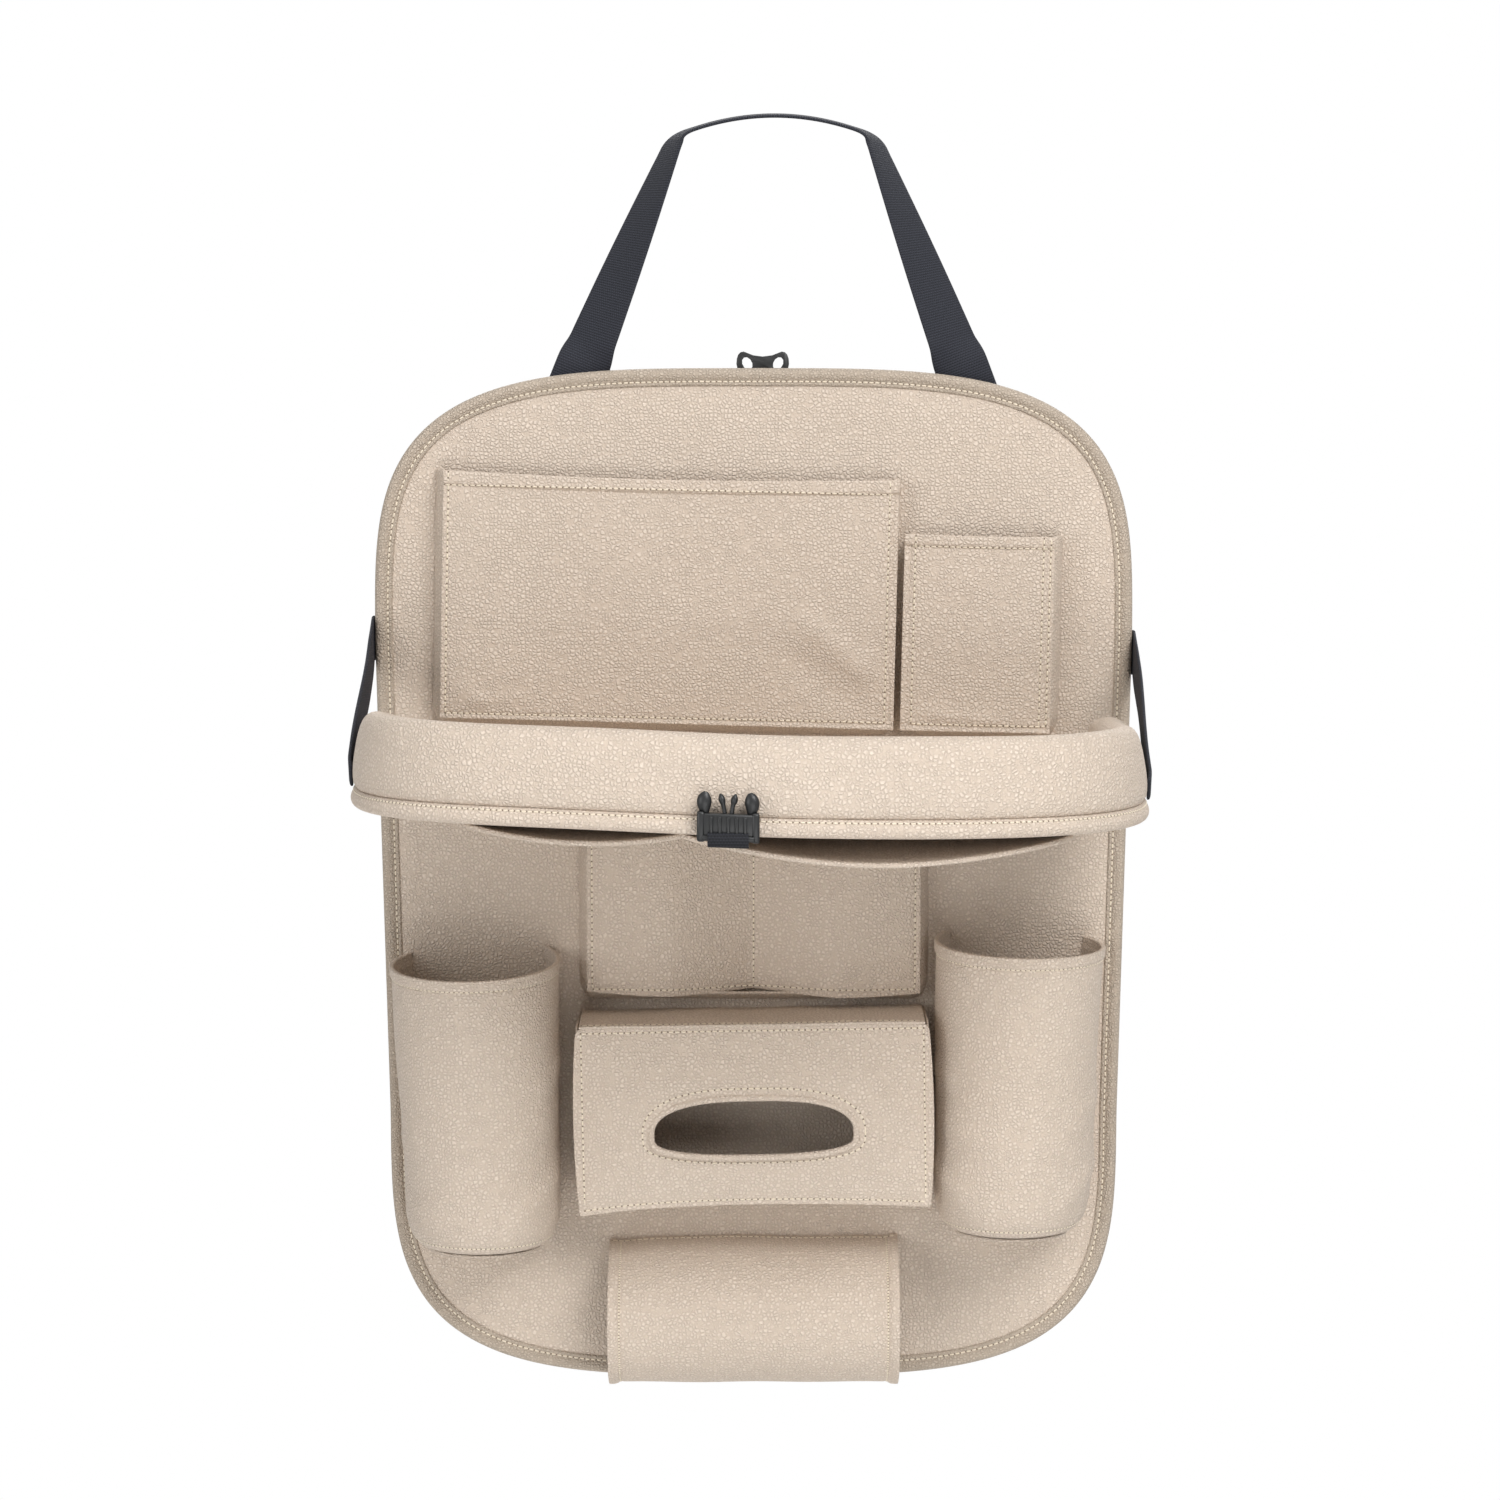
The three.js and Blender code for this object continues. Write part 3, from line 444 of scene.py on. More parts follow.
def pebbled_leather(name, light, dark, grain=2.1):
    """Polyurethane leather embossed with rounded pebbles, with a low satin shine at the hollows' edges."""
    material, tree, shader = new_material(name, IOR=1.5, Specular_IOR_Level=0.42)
    place = place_of(tree)
    drift = noise(tree, place, 5 * grain, 2)["Color"]
    bend = {0: drift, 1: (1.1 * grain * MM,) * 3, 2: place}
    bent = add_node(tree, "VectorMath", bend, operation="MULTIPLY_ADD")["Vector"]
    cells = {"Vector": bent, "Scale": 1 / (grain * MM), "Randomness": 0.85}
    pebbles = add_node(tree, "TexVoronoi", cells, feature="DISTANCE_TO_EDGE")["Distance"]
    domes = remap(tree, pebbles, (0, 0.32), interpolation_type="SMOOTHSTEP")
    mottle = remap(tree, noise(tree, place, 70, 3)["Fac"], (0.3, 0.7), (0.9, 1))
    share = calculate(tree, "MULTIPLY", remap(tree, domes, end=(0.45, 1)), mottle)
    colour_between(tree, shader, share, dark, light)
    height = calculate(tree, "MULTIPLY_ADD", noise(tree, place, 0.5, 3)["Fac"], 0.25, domes)
    height = calculate(tree, "MULTIPLY_ADD", noise(tree, place, 7, 2)["Fac"], 0.9, height)
    emboss(tree, shader, height, 0.9, 0.55)
    tree.links.new(remap(tree, domes, end=(0.62, 0.5)), shader.inputs["Roughness"])
    return material


def woven_webbing(name, light, dark, width=None, length=None):
    """Dull polyester webbing: ribs across the strap 1.4 mm apart, crossed by warp threads 1.5 mm apart.

    A strap is measured along its UV map. A short loop, which has none, is measured along X and Z."""
    material, tree, shader = new_material(name, Roughness=0.8, Specular_IOR_Level=0.3)
    if width:
        place, size, down = add_node(tree, "UVMap")["UV"], (width / 1.5, length / 1.4, 1), "Y"
    else:
        place, size, down = place_of(tree), (1 / (1.5 * MM), 1, 1 / (1.4 * MM)), "Z"
    stretched = add_node(tree, "VectorMath", {0: place, 1: size}, operation="MULTIPLY")["Vector"]
    parts = add_node(tree, "SeparateXYZ", {"Vector": stretched})
    shifted = calculate(tree, "MULTIPLY_ADD", calculate(tree, "FLOOR", parts[down]), 0.5, parts["X"])
    warp, rib = [calculate(tree, "SINE", calculate(tree, "MULTIPLY", value, 2 * pi))
                 for value in (shifted, parts[down])]
    threads = remap(tree, calculate(tree, "MULTIPLY_ADD", warp, 0.6, rib), (-1.6, 1.6))
    colour_between(tree, shader, threads, dark, light)
    emboss(tree, shader, threads, 0.8, 0.35)
    return material


def moulded_plastic(name, hex_colour):
    """Moulded with a fine spark-eroded texture and a soft gloss."""
    material, tree, shader = new_material(name, Base_Color=linear(hex_colour), Roughness=0.36, IOR=1.48)
    emboss(tree, shader, noise(tree, place_of(tree), 0.4, 3)["Fac"], 0.25, 0.08)
    return material


def felted_lining(name, light, dark):
    """Needle-felted polyester: short fibres in every direction, without shine."""
    material, tree, shader = new_material(name, Roughness=0.95, Specular_IOR_Level=0.15)
    fibres = noise(tree, place_of(tree), 1.2, 5, distortion=2.5)["Fac"]
    colour_between(tree, shader, remap(tree, fibres, (0.35, 0.65)), dark, light)
    emboss(tree, shader, fibres, 0.6, 0.3)
    return material


def spun_thread(name, hex_colour, roughness=0.6):
    """Bonded polyester sewing thread, with a slight sheen from its twist."""
    material, tree, shader = new_material(name, Base_Color=linear(hex_colour), Roughness=roughness)
    emboss(tree, shader, noise(tree, place_of(tree), 0.6, 1)["Fac"], 0.4, 0.1)
    return material


leather = pebbled_leather("pebbled_leather", "#DFD0C1", "#BBA997")
# A darker, greyer copy of the leather for the panel's rolled binding: painted shade, for the roll curving
# away from the light.
binding_leather_shaded = pebbled_leather("pebbled_leather_shaded_binding", "#C6B8A8", "#A19180", grain=1.8)
foam = felted_lining("open_cell_foam", "#DDD8CC", "#C2BCAE")
board = moulded_plastic("pressed_board", "#8F8A80")
lining = felted_lining("felted_lining", "#4E4A45", "#35322F")
strap_webbing = woven_webbing("strap_webbing", "#34363F", "#14151A", HEADREST_WIDTH, 420)
stay_webbing = woven_webbing("stay_webbing", "#34363F", "#14151A", STAY_WIDTH, 175)
tab_webbing = woven_webbing("tab_webbing", "#2A2B31", "#0D0D10")
plastic = moulded_plastic("moulded_acetal", "#101112")
thread = spun_thread("sewing_thread", "#E8DCC8")
dark_thread = spun_thread("dark_sewing_thread", "#3A3B42")
# Dark discs at the stitches' needle holes: painted shade in the holes, made with the thread material's code.
needle_hole_shade = spun_thread("needle_hole_shade", "#7F6F5E", roughness=0.9)


# Stitches

def one_stitch():
    """One lockstitch, 1 long on X, as corners and faces. It is copied along each seam."""
    deselect()
    bpy.ops.mesh.primitive_uv_sphere_add(segments=6, ring_count=5, radius=0.5, rotation=(0, pi / 2, 0))
    bpy.ops.object.transform_apply(location=True, rotation=True, scale=True)
    stitch = bpy.context.object
    corners = [tuple(v.co) for v in stitch.data.vertices]
    faces = [tuple(p.vertices) for p in stitch.data.polygons]
    bpy.data.objects.remove(stitch)
    return np.array(corners), faces


STITCH, STITCH_FACES = one_stitch()
HOLE_TURNS = np.linspace(0, 2 * pi, 7)[:-1]


def stitch_row(name, line, into, sheet, body="bag", pitch=3.4, thickness=0.95, yarn=thread):
    """Stitches along a line, each with a dark disc of painted shade at its needle hole, pressed onto the
    sheet in the direction into at each point.
    """
    line = np.asarray(line, dtype=float)
    into = np.broadcast_to(np.asarray(into, dtype=float), line.shape)
    mesh = sheet.data
    tree = BVHTree.FromPolygons([v.co for v in mesh.vertices], [p.vertices for p in mesh.polygons])
    landed = []
    for row in resample(np.concatenate([line, into], axis=1), spacing=pitch):
        aim = Vector(row[3:]).normalized()
        landed.append(tree.ray_cast(Vector(row[:3]) * MM - aim * NEEDLE_BACK, aim, NEEDLE_REACH))
    corners, faces, slots = [], [], []
    for first, second in zip(landed, landed[1:]):
        if first[0] is None or second[0] is None:
            continue
        normal = ((first[1] + second[1]) / 2).normalized()
        along = second[0] - first[0]
        reach = along.length
        if not 0.2 * pitch * MM <= reach <= 2 * pitch * MM:
            continue
        along.normalize()
        side = normal.cross(along).normalized()
        axes = np.array([along * reach * 0.84, side * thickness * MM, normal * thickness * 0.8 * MM])
        middle = np.array((first[0] + second[0]) / 2 + normal * 0.12 * MM)
        faces.extend(tuple(len(corners) + k for k in face) for face in STITCH_FACES)
        corners.extend(STITCH @ axes + middle)
        # A small dark disc at the needle hole, as painted shade in the hole.
        hole_shade_middle = np.array(first[0] + normal * 0.1 * MM)
        along, side = np.array(along) * 0.62 * MM, np.array(side) * 0.5 * MM
        faces.append(tuple(len(corners) + k for k in range(len(HOLE_TURNS))))
        corners.extend(hole_shade_middle + along * cos(turn) + side * sin(turn) for turn in HOLE_TURNS)
        slots.extend([0] * len(STITCH_FACES) + [1])
    mesh = bpy.data.meshes.new(name)
    mesh.from_pydata([tuple(c) for c in corners], [], faces)
    mesh.materials.append(yarn)
    mesh.materials.append(needle_hole_shade)
    mesh.polygons.foreach_set("material_index", slots)
    mesh.polygons.foreach_set("use_smooth", [True] * len(faces))
    piece = add_object(name, mesh)
    if body == "tray":
        tray_pieces.append(piece)
    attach(piece, body)


def sew(name, sheet, put, x, z, start=-70, **settings):
    """Stitches on an upright pocket's front, through the points at x and z."""
    stitch_row(name + "_stitches", put(x, start, z), (0, 1, 0), sheet, **settings)


# The padded back panel

def make_panel():
    reach = 200
    shares = 1 - spread(0, reach, (0, 4), coarse=7, fine=1.1) / reach
    inner = panel_outline(9.4)[0][:-1]

    def disc(name, front, crown, size, seed):
        rings = []
        for share in shares:
            x, z = (inner * share).T
            inside = (1 - share) * reach
            puff = crown * (1 - np.exp(-inside / 5)) + 0.5 * ripple(x, z, size, seed) * min(1, inside / 15)
            rings.append(at(x, front - puff, z))
        return ringed(name, rings)

    face = thicken(disc("panel_front", FACE + 0.9, 0.9, 85, 0.6), LEATHER, levels=0)
    finish(face, leather, "bag", "leather", "panel_face")
    back = thicken(disc("panel_back", -0.5, 0.0, 60, 2.1), 0.9, levels=0)
    finish(back, lining, "bag", "lining", "panel_lining")

    section = np.array([
        (0, -5), (0.3, -7.4), (1.5, -9.2), (3.2, -9.9), (5, -9.7), (6.3, -9.1), (7.1, -8.5), (7.7, -8.4),
        (8.4, -8.7), (9.3, -8.8), (10, -8.2), (10.2, -6.8), (10.2, -3), (9.6, -0.6), (7.5, 0), (4.2, 0),
        (1.5, -0.5), (0.3, -2.4), (0, -5),
    ])
    outline, out = panel_outline(0)
    place = outline[:, None, :] - out[:, None, :] * section[None, :, :1]
    bulge = 0.25 * ripple(outline[:, 0], outline[:, 1], 30, 1.1)
    depth = section[None, :, 1] * (1 + bulge[:, None] * 0.05)
    binding = soften(surface("panel_rolled_binding", at(place[..., 0], depth, place[..., 1])))
    # The binding takes the darker copy of the leather, which paints the shade of its roll.
    finish(binding, binding_leather_shaded, "bag", "leather_edge", "panel_binding")
    seam = outline - out * 7.5
    stitch_row("panel_binding_stitches", at(seam[:, 0], -20, seam[:, 1]), (0, 1, 0), binding, pitch=3.2)


# Flat pockets with gussets

def u_run(width, height, corner=7):
    """The line of a gusset: down the left side, round the bottom corners and up the right side."""
    turn = np.linspace(0, pi / 2, 9)[1:-1]
    left = np.stack([corner - width / 2 - corner * np.cos(turn), corner - corner * np.sin(turn)], axis=1)
    line = np.concatenate([
        [[-width / 2, height], [-width / 2, corner]],
        left,
        [[corner - width / 2, 0], [width / 2 - corner, 0]],
        (left * [-1, 1])[::-1],
        [[width / 2, corner], [width / 2, height]],
    ])
    return resample(line, spacing=3)


def make_gusset(pocket, put, width, height, depth, flares=(0, 0, 0), bow=0.8, tuck=0.0, foot_lift=None):
    """The strip between a pocket's front and the panel, wider at the panel by the flares on the left, on the
    right and below. Its lower half may be tucked in, so that the front leans back to the panel there."""
    run_x, run_z = u_run(width - LEATHER, height).T
    side = run_x / (width / 2 - LEATHER / 2)
    low = np.clip(1 - run_z / 7, 0, 1)
    tucked = tuck * np.clip(1 - 2 * run_z / height, 0, 1) ** LEAN_POWER
    lift = foot_lift(run_x) * low if foot_lift else 0
    rows = []
    for share in np.linspace(0, 1, 8):
        arch = bow * np.sin(pi * share)
        flare = np.where(side < 0, flares[0], flares[1]) * (1 - share) + arch
        z = run_z + LEATHER / 2 - (flares[2] * (1 - share) + arch) * low + lift * share
        y = FACE - SEAM_GAP - share * (depth - 1.2 - tucked)
        rows.append(put(run_x + flare * side, y, z))
    leather_sheet(pocket + "_side", np.array(rows), "bag", pocket + "_gusset")


def make_front(pocket, put, width, height, y_at, foot_lift, hem_drop=7.5, mouth_dip=1.0, shift=None):
    """A pocket's front, with a folded hem at its mouth and stitches that pull it in along its edges."""
    top, half = height - hem_drop, width / 2 - EDGE_SEAM
    x, z = np.meshgrid(spread(-width / 2, width / 2, (-width / 2, -half, half, width / 2)),
                       spread(0, height, (0, EDGE_SEAM, top, height)))
    side = np.abs(x) - half
    dip = groove(side) * (z < top + 1) + groove(z - EDGE_SEAM) + groove(z - top)
    hem = np.clip((z - top) / 1.5, 0, 1)
    lip = np.clip((side - 0.6) / 1.2, 0, 1) + np.clip((EDGE_SEAM - 0.6 - z) / 1.2, 0, 1)
    y = y_at(x, z) + 0.55 * np.clip(dip, 0, 1) - 0.45 * hem - 0.25 * np.clip(lip, 0, 1)
    up = z / height
    lowered = z - mouth_dip * np.cos(pi * x / width) * up ** 4 + foot_lift(x) * (1 - up) ** 3
    points = put(x + (shift(x) if shift else 0), y, lowered)
    sheet = leather_sheet(pocket + "_sheet", points, "bag", pocket + "_front", HEMMED, 0.62 + 0.38 * hem)
    sew(pocket + "_hem", sheet, put, np.linspace(1 - width / 2, width / 2 - 1, 40), top)
    sew(pocket + "_seam", sheet, put, np.array([-half, -half, half, half]),
        np.array([height - 1, EDGE_SEAM, EDGE_SEAM, height - 1]))
    return sheet


def make_upper_pockets():
    """The pockets for a tablet and a phone, in one row that runs down to the right."""
    def place(middle):
        tilt = radians(UPPER_TILT)
        return upright((TABLET_RIGHT + middle * cos(tilt), 0, UPPER_FOOT - middle * sin(tilt)), UPPER_TILT)

    def front_y(size, rear, swell, unevenness, *folds):
        def y_at(x, z):
            u, v = x / size[0] + 0.5, z / size[1]
            full = swell * np.sin(pi * u) ** 0.6 * np.minimum(1, 2.4 * v) * (1 - 0.25 * v)
            return FACE - rear - full - creases(x, z, *folds) - unevenness(x, z)
        return y_at

    def towards_gap(reach, side):
        return lambda x: reach * np.clip(0.5 + side * x / 120, 0, 1)

    tablet = place(-TABLET[0] / 2)
    tablet_y = front_y(
        TABLET, 12.8, 4, lambda x, z: 0.5 * ripple(x, z, 95, 0.2),
        ((66, 62), (117, 24), 7, 2.2), ((58, 42), (110, 8), 8, -1.3), ((-119, 18), (-96, 8), 4, 0.9),
        ((-100, 84), (-84, 118), 9, 0.7), ((-119, 8), (-70, 13), 3, 0.5))
    make_front("tablet_pocket", tablet, *TABLET, tablet_y, lambda x: -1.2 * np.clip((x + 60) / 180, 0, 1),
               hem_drop=8, mouth_dip=2.6, shift=towards_gap(2.2, 1))
    make_gusset("tablet_pocket", tablet, *TABLET, 12, (5, 3, 5))

    phone = place(PHONE_GAP + PHONE[0] / 2)
    phone_y = front_y(
        PHONE, 15.8, 3, lambda x, z: 0.4 * ripple(x, z, 60, 1.2),
        ((-34, 10), (20, 6), 3, 0.8), ((-30, 88), (10, 78), 6, 0.5))
    front = make_front("phone_pocket", phone, *PHONE, phone_y, lambda x: -1.0,
                       hem_drop=6.5, mouth_dip=0.4, shift=towards_gap(-3.6, -1))
    sew("phone_pocket_second", front, phone, np.array([33, 33]), np.array([PHONE[1] - 1, EDGE_SEAM]))
    make_gusset("phone_pocket", phone, *PHONE, 15, (-3, 5, 5))


def make_centre_pocket():
    """A pocket sewn down along its middle, so that it bulges on both sides of the seam."""
    put = upright((0, 0, CENTRE_FOOT))

    def front_y(x, z):
        side = np.abs(x) / (CENTRE[0] / 2)
        at_seam = 1 - np.minimum(1, side / 0.5) ** 1.3
        swell = 5 * np.sin(pi * np.clip(side, 0, 1)) ** 0.8
        sewn = 0.7 * groove(np.abs(x), 1.2)
        return FACE - 15.8 - swell + 12.4 * at_seam + sewn - 0.5 * ripple(x, z, 70, 3.1)

    def foot(x):
        side = np.abs(x) / (CENTRE[0] / 2)
        return 1.5 - 2.4 * np.sin(pi * np.clip(side, 0, 1)) + np.where(x > 0, -1.2, 0) * side

    sheet = make_front("centre_pocket", put, *CENTRE, front_y, foot)
    sew("centre_pocket_middle", sheet, put, np.zeros(2), np.array([CENTRE[1] - 3, 4]))
    make_gusset("centre_pocket", put, *CENTRE, 15, (5, 5, 5))


# The tissue pocket

def slot_outline(width, height):
    """The closed outline of the slot for the tissues: arched above and flatter below."""
    turn = np.linspace(0, 2 * pi, 121)
    x = width / 2 * np.sign(np.cos(turn)) * np.abs(np.cos(turn)) ** 0.72
    upper = height * 0.62 * np.abs(np.sin(turn)) ** 0.85
    lower = -height * (0.38 * np.abs(np.sin(turn)) ** 0.42 - 0.03 * np.cos(turn * 2))
    return np.stack([x, np.where(np.sin(turn) >= 0, upper, lower) + SLOT_Z], axis=1)


def tissue_foot(x):
    """How far the tissue pocket's lower edge is drawn up between its corners."""
    share = x / (TISSUE[0] / 2)
    return 3.2 * (1 - share ** 2) - 2.2 * np.clip(-share, 0, 1) ** 4


def make_tissue_pocket():
    half_x, half_z = TISSUE[0] / 2, TISSUE[1] / 2
    put = upright((0, 0, TISSUE_TOP - half_z), TISSUE_TILT)

    # The front's rows run from the slot out to the edge, and four of their ends go into its corners
    slot_x, slot_z = slot_outline(110, 30).T
    turn = np.arctan2(slot_z * half_x / half_z, slot_x)
    reach = np.minimum(half_x / np.maximum(np.abs(np.cos(turn)), 1e-6),
                       half_z / np.maximum(np.abs(np.sin(turn)), 1e-6))
    rim_x = np.clip(reach * np.cos(turn), -half_x, half_x)
    rim_z = np.clip(reach * np.sin(turn), -half_z, half_z)
    for corner_x in (-half_x, half_x):
        for corner_z in (-half_z, half_z):
            nearest = np.argmin(np.hypot(rim_x - corner_x, rim_z - corner_z))
            rim_x[nearest], rim_z[nearest] = corner_x, corner_z
    shares = spread(0, 1, (0, 1), coarse=0.09, fine=0.022, reach=0.06)
    shares = np.concatenate([[0, 0.012], shares[1:-1], [0.985, 1]])[:, None]
    x = slot_x + (rim_x - slot_x) * shares
    z = slot_z + (rim_z - slot_z) * shares
    edge = np.minimum(half_x - np.abs(x), half_z - np.abs(z))
    low = np.clip(-z / half_z, 0, 1)
    y = FACE - 52.8 + 0.55 * groove(edge - EDGE_SEAM) - 0.2 * (edge < 1.8)
    y = y - 1.6 * (1 - np.exp(-edge / 14)) - 0.5 * ripple(x, z, 80, 0.9)
    y = y - creases(x, z, ((60, 12), (94, -2), 8, 1.6), ((-90, 14), (-50, 6), 9, 1.0))
    y = y - 3.2 * np.clip(edge / 30, 0, 1) ** 1.5 * np.cos(pi * z / 110) + 5.2 * low ** LEAN_POWER
    bow = 2.2 * (1 - (z / half_z) ** 2) * np.abs(x / half_x) ** 3 * np.sign(x)
    points = put(x + bow, y, z + tissue_foot(x) * low ** 3)
    sheet = leather_sheet("tissue_pocket_sheet", points, "bag", "tissue_pocket_front")

    ring = slot_outline(111.5, 31.5)
    around = np.linspace(0, 2 * pi, 11)
    place = ring[:, None, :] + outward(ring)[:, None, :] * (1.9 * np.cos(around))[None, :, None]
    lower = np.clip((SLOT_Z - ring[:, None, 1]) / 10, 0, 1)
    y = FACE - 57.9 - 0.9 * lower - (1.3 + 0.5 * lower) * np.sin(around)
    lip = soften(surface("tissue_slot_lip", put(place[..., 0], y, place[..., 1])))
    finish(lip, leather, "bag", "leather_edge", "tissue_slot_piping")

    seam_x, seam_z = half_x - EDGE_SEAM, half_z - EDGE_SEAM
    across = np.linspace(-seam_x, seam_x, 30)
    down = np.linspace(seam_z, 2 - seam_z, 12)
    sew("tissue_slot", sheet, put, *slot_outline(121, 40).T, start=-90, pitch=3.6)
    sew("tissue_pocket_top", sheet, put, across, seam_z, start=-90)
    sew("tissue_pocket_left", sheet, put, -seam_x, down, start=-90)
    sew("tissue_pocket_right", sheet, put, seam_x, down, start=-90)
    sew("tissue_pocket_foot", sheet, put, across, tissue_foot(across) - seam_z, start=-90)
    base = upright(put(0, 0, -half_z), TISSUE_TILT)
    make_gusset("tissue_pocket", base, *TISSUE, TISSUE_DEPTH, bow=0, tuck=TISSUE_TUCK, foot_lift=tissue_foot)

    rear = TISSUE_DEPTH + 3.6
    x, away = np.meshgrid(spread(-94, 94, (-94, 94), coarse=6),
                          spread(0, rear, (0, EDGE_SEAM, TISSUE_DEPTH, rear), coarse=5))
    z = half_z + SEAM_GAP + 2.4 * np.sin(pi * away / rear) * (1 - away / 90) + 0.4 * ripple(x, away, 60, 2.2)
    z = z - 0.5 * groove(away - EDGE_SEAM) - 0.4 * groove(away - TISSUE_DEPTH)
    points = put(x, FACE - SEAM_GAP - away, z)
    flap = leather_sheet("tissue_pocket_top_sheet", points, "bag", "tissue_pocket_flap")
    for away, word in ((EDGE_SEAM, "rear"), (TISSUE_DEPTH, "front")):
        line = put(np.linspace(-92, 92, 30), FACE - SEAM_GAP - away, 80)
        stitch_row("tissue_pocket_top_%s_stitches" % word, line, (0, 0, -1), flap)


# Bottle pockets

def make_bottle_pocket(word, side, inner, top, dip, *folds):
    """A pocket round a bottle. Its mouth dips in the middle and falls towards the panel's edge."""
    full_width, full_height = BOTTLE
    put = upright((inner, 0, top - full_height))

    def wall_point(share, height, out=0.0):
        """share runs from -1 at the left seam to 1 at the right seam."""
        up = height / full_height
        heel = np.clip(1 - height / 20, 0, 1)
        width = full_width - 8 * (1 - up)
        radius = width / 2 - LEATHER / 2 - 10 * (1 - np.sqrt(1 - heel ** 2))
        angle = share * (np.arccos(-BOTTLE_STANDOFF / radius) - SEAM_GAP / radius)
        outer = (1 + side * share) / 2
        cut = (dip * np.sin(pi * outer) + 4 * outer) * up ** 4
        x = side * width / 2 + (radius + out) * np.sin(angle)
        y = FACE - SEAM_GAP - BOTTLE_STANDOFF - (radius + out) * np.cos(angle)
        return x, y, height - cut

    heights = spread(0, full_height, (0, BOTTLE_SEAM, BOTTLE_HEM, full_height))
    share, height = np.meshgrid(np.linspace(-1, 1, 110), heights)
    around = share * 95
    hem = np.clip((height - BOTTLE_HEM) / 1.5, 0, 1)
    out = 0.45 * hem - 0.55 * groove(height - BOTTLE_HEM) - 0.55 * groove(height - BOTTLE_SEAM)
    out = out + 0.8 * ripple(around, height, 75, 1.3 + side) * np.clip(height / 30, 0, 1) * (1 - hem)
    out = out + creases(around, height, *folds)
    pocket = word + "_bottle_pocket"
    points = put(*wall_point(share, height, out))
    wall = leather_sheet(pocket + "_sheet", points, "bag", pocket + "_wall", HEMMED, 0.62 + 0.38 * hem)

    foot = np.stack(wall_point(np.linspace(-1, 1, 60), 0)[:2], axis=1)
    centre = foot.mean(axis=0)
    shares = 1 - spread(0, 1, (0,), coarse=0.15, fine=0.06, reach=0.1)
    rings = [put(*(centre + (foot - centre) * s).T, -2.0 - 1.4 * (1 - s ** 2)) for s in shares]
    base = thicken(ringed(pocket + "_foot", rings), LEATHER, levels=0)
    finish(base, leather, "bag", "leather", pocket + "_base")

    shares = np.linspace(-0.97, 0.97, 60)
    for height, seam in ((BOTTLE_HEM, "hem"), (BOTTLE_SEAM, "foot")):
        far, near = put(*wall_point(shares, height, 12)), put(*wall_point(shares, height))
        stitch_row("%s_%s_stitches" % (pocket, seam), far, near - far, wall)


def make_sleeve():
    """The sleeve for a folded umbrella, open at both ends, from the lower binding up to the panel."""
    half = SLEEVE[0] / 2
    x_lines = spread(-half, half, (-half, -SLEEVE_SEAM, SLEEVE_SEAM, half))
    x, turn = np.meshgrid(x_lines, spread(0, pi, (0, pi), coarse=0.1, fine=0.02, reach=0.05))
    up = turn / pi
    past_seam = np.abs(x) - SLEEVE_SEAM
    out = 1 + 0.012 * ripple(x, turn * 40, 60, 2.6) - 0.012 * groove(past_seam)
    out = out + 0.02 * np.clip((past_seam - 1) / 2, 0, 1)
    y = BINDING_FRONT + (FACE - BINDING_FRONT) * up - SEAM_GAP - SLEEVE_DEPTH * np.sin(turn) * out
    middle = SLEEVE[1] / 2 - PANEL_TOP
    z = middle - 39.7 * np.cos(turn) * out - 2 * np.sin(turn) - 3.5 * np.clip(-x / half, 0, 1) ** 3 * up ** 3
    hem = 0.66 + 0.34 * np.clip(past_seam / 1.5, 0, 1)
    sleeve = leather_sheet("umbrella_sleeve_sheet", at(x, y, z), "bag", "umbrella_sleeve", 2.4, hem)
    angle = np.linspace(0.12, pi - 0.1, 50)
    for seam, word in ((-SLEEVE_SEAM, "left"), (SLEEVE_SEAM, "right")):
        far = at(seam, -9 - 60 * np.sin(angle), middle - 56 * np.cos(angle))
        stitch_row("sleeve_%s_stitches" % word, far, at(seam, -9, middle) - far, sleeve)
    stitch_row("sleeve_top_stitches", at(np.linspace(-79, 79, 40), -12.5, -190), (0, 0, -1), sleeve)


# The tray

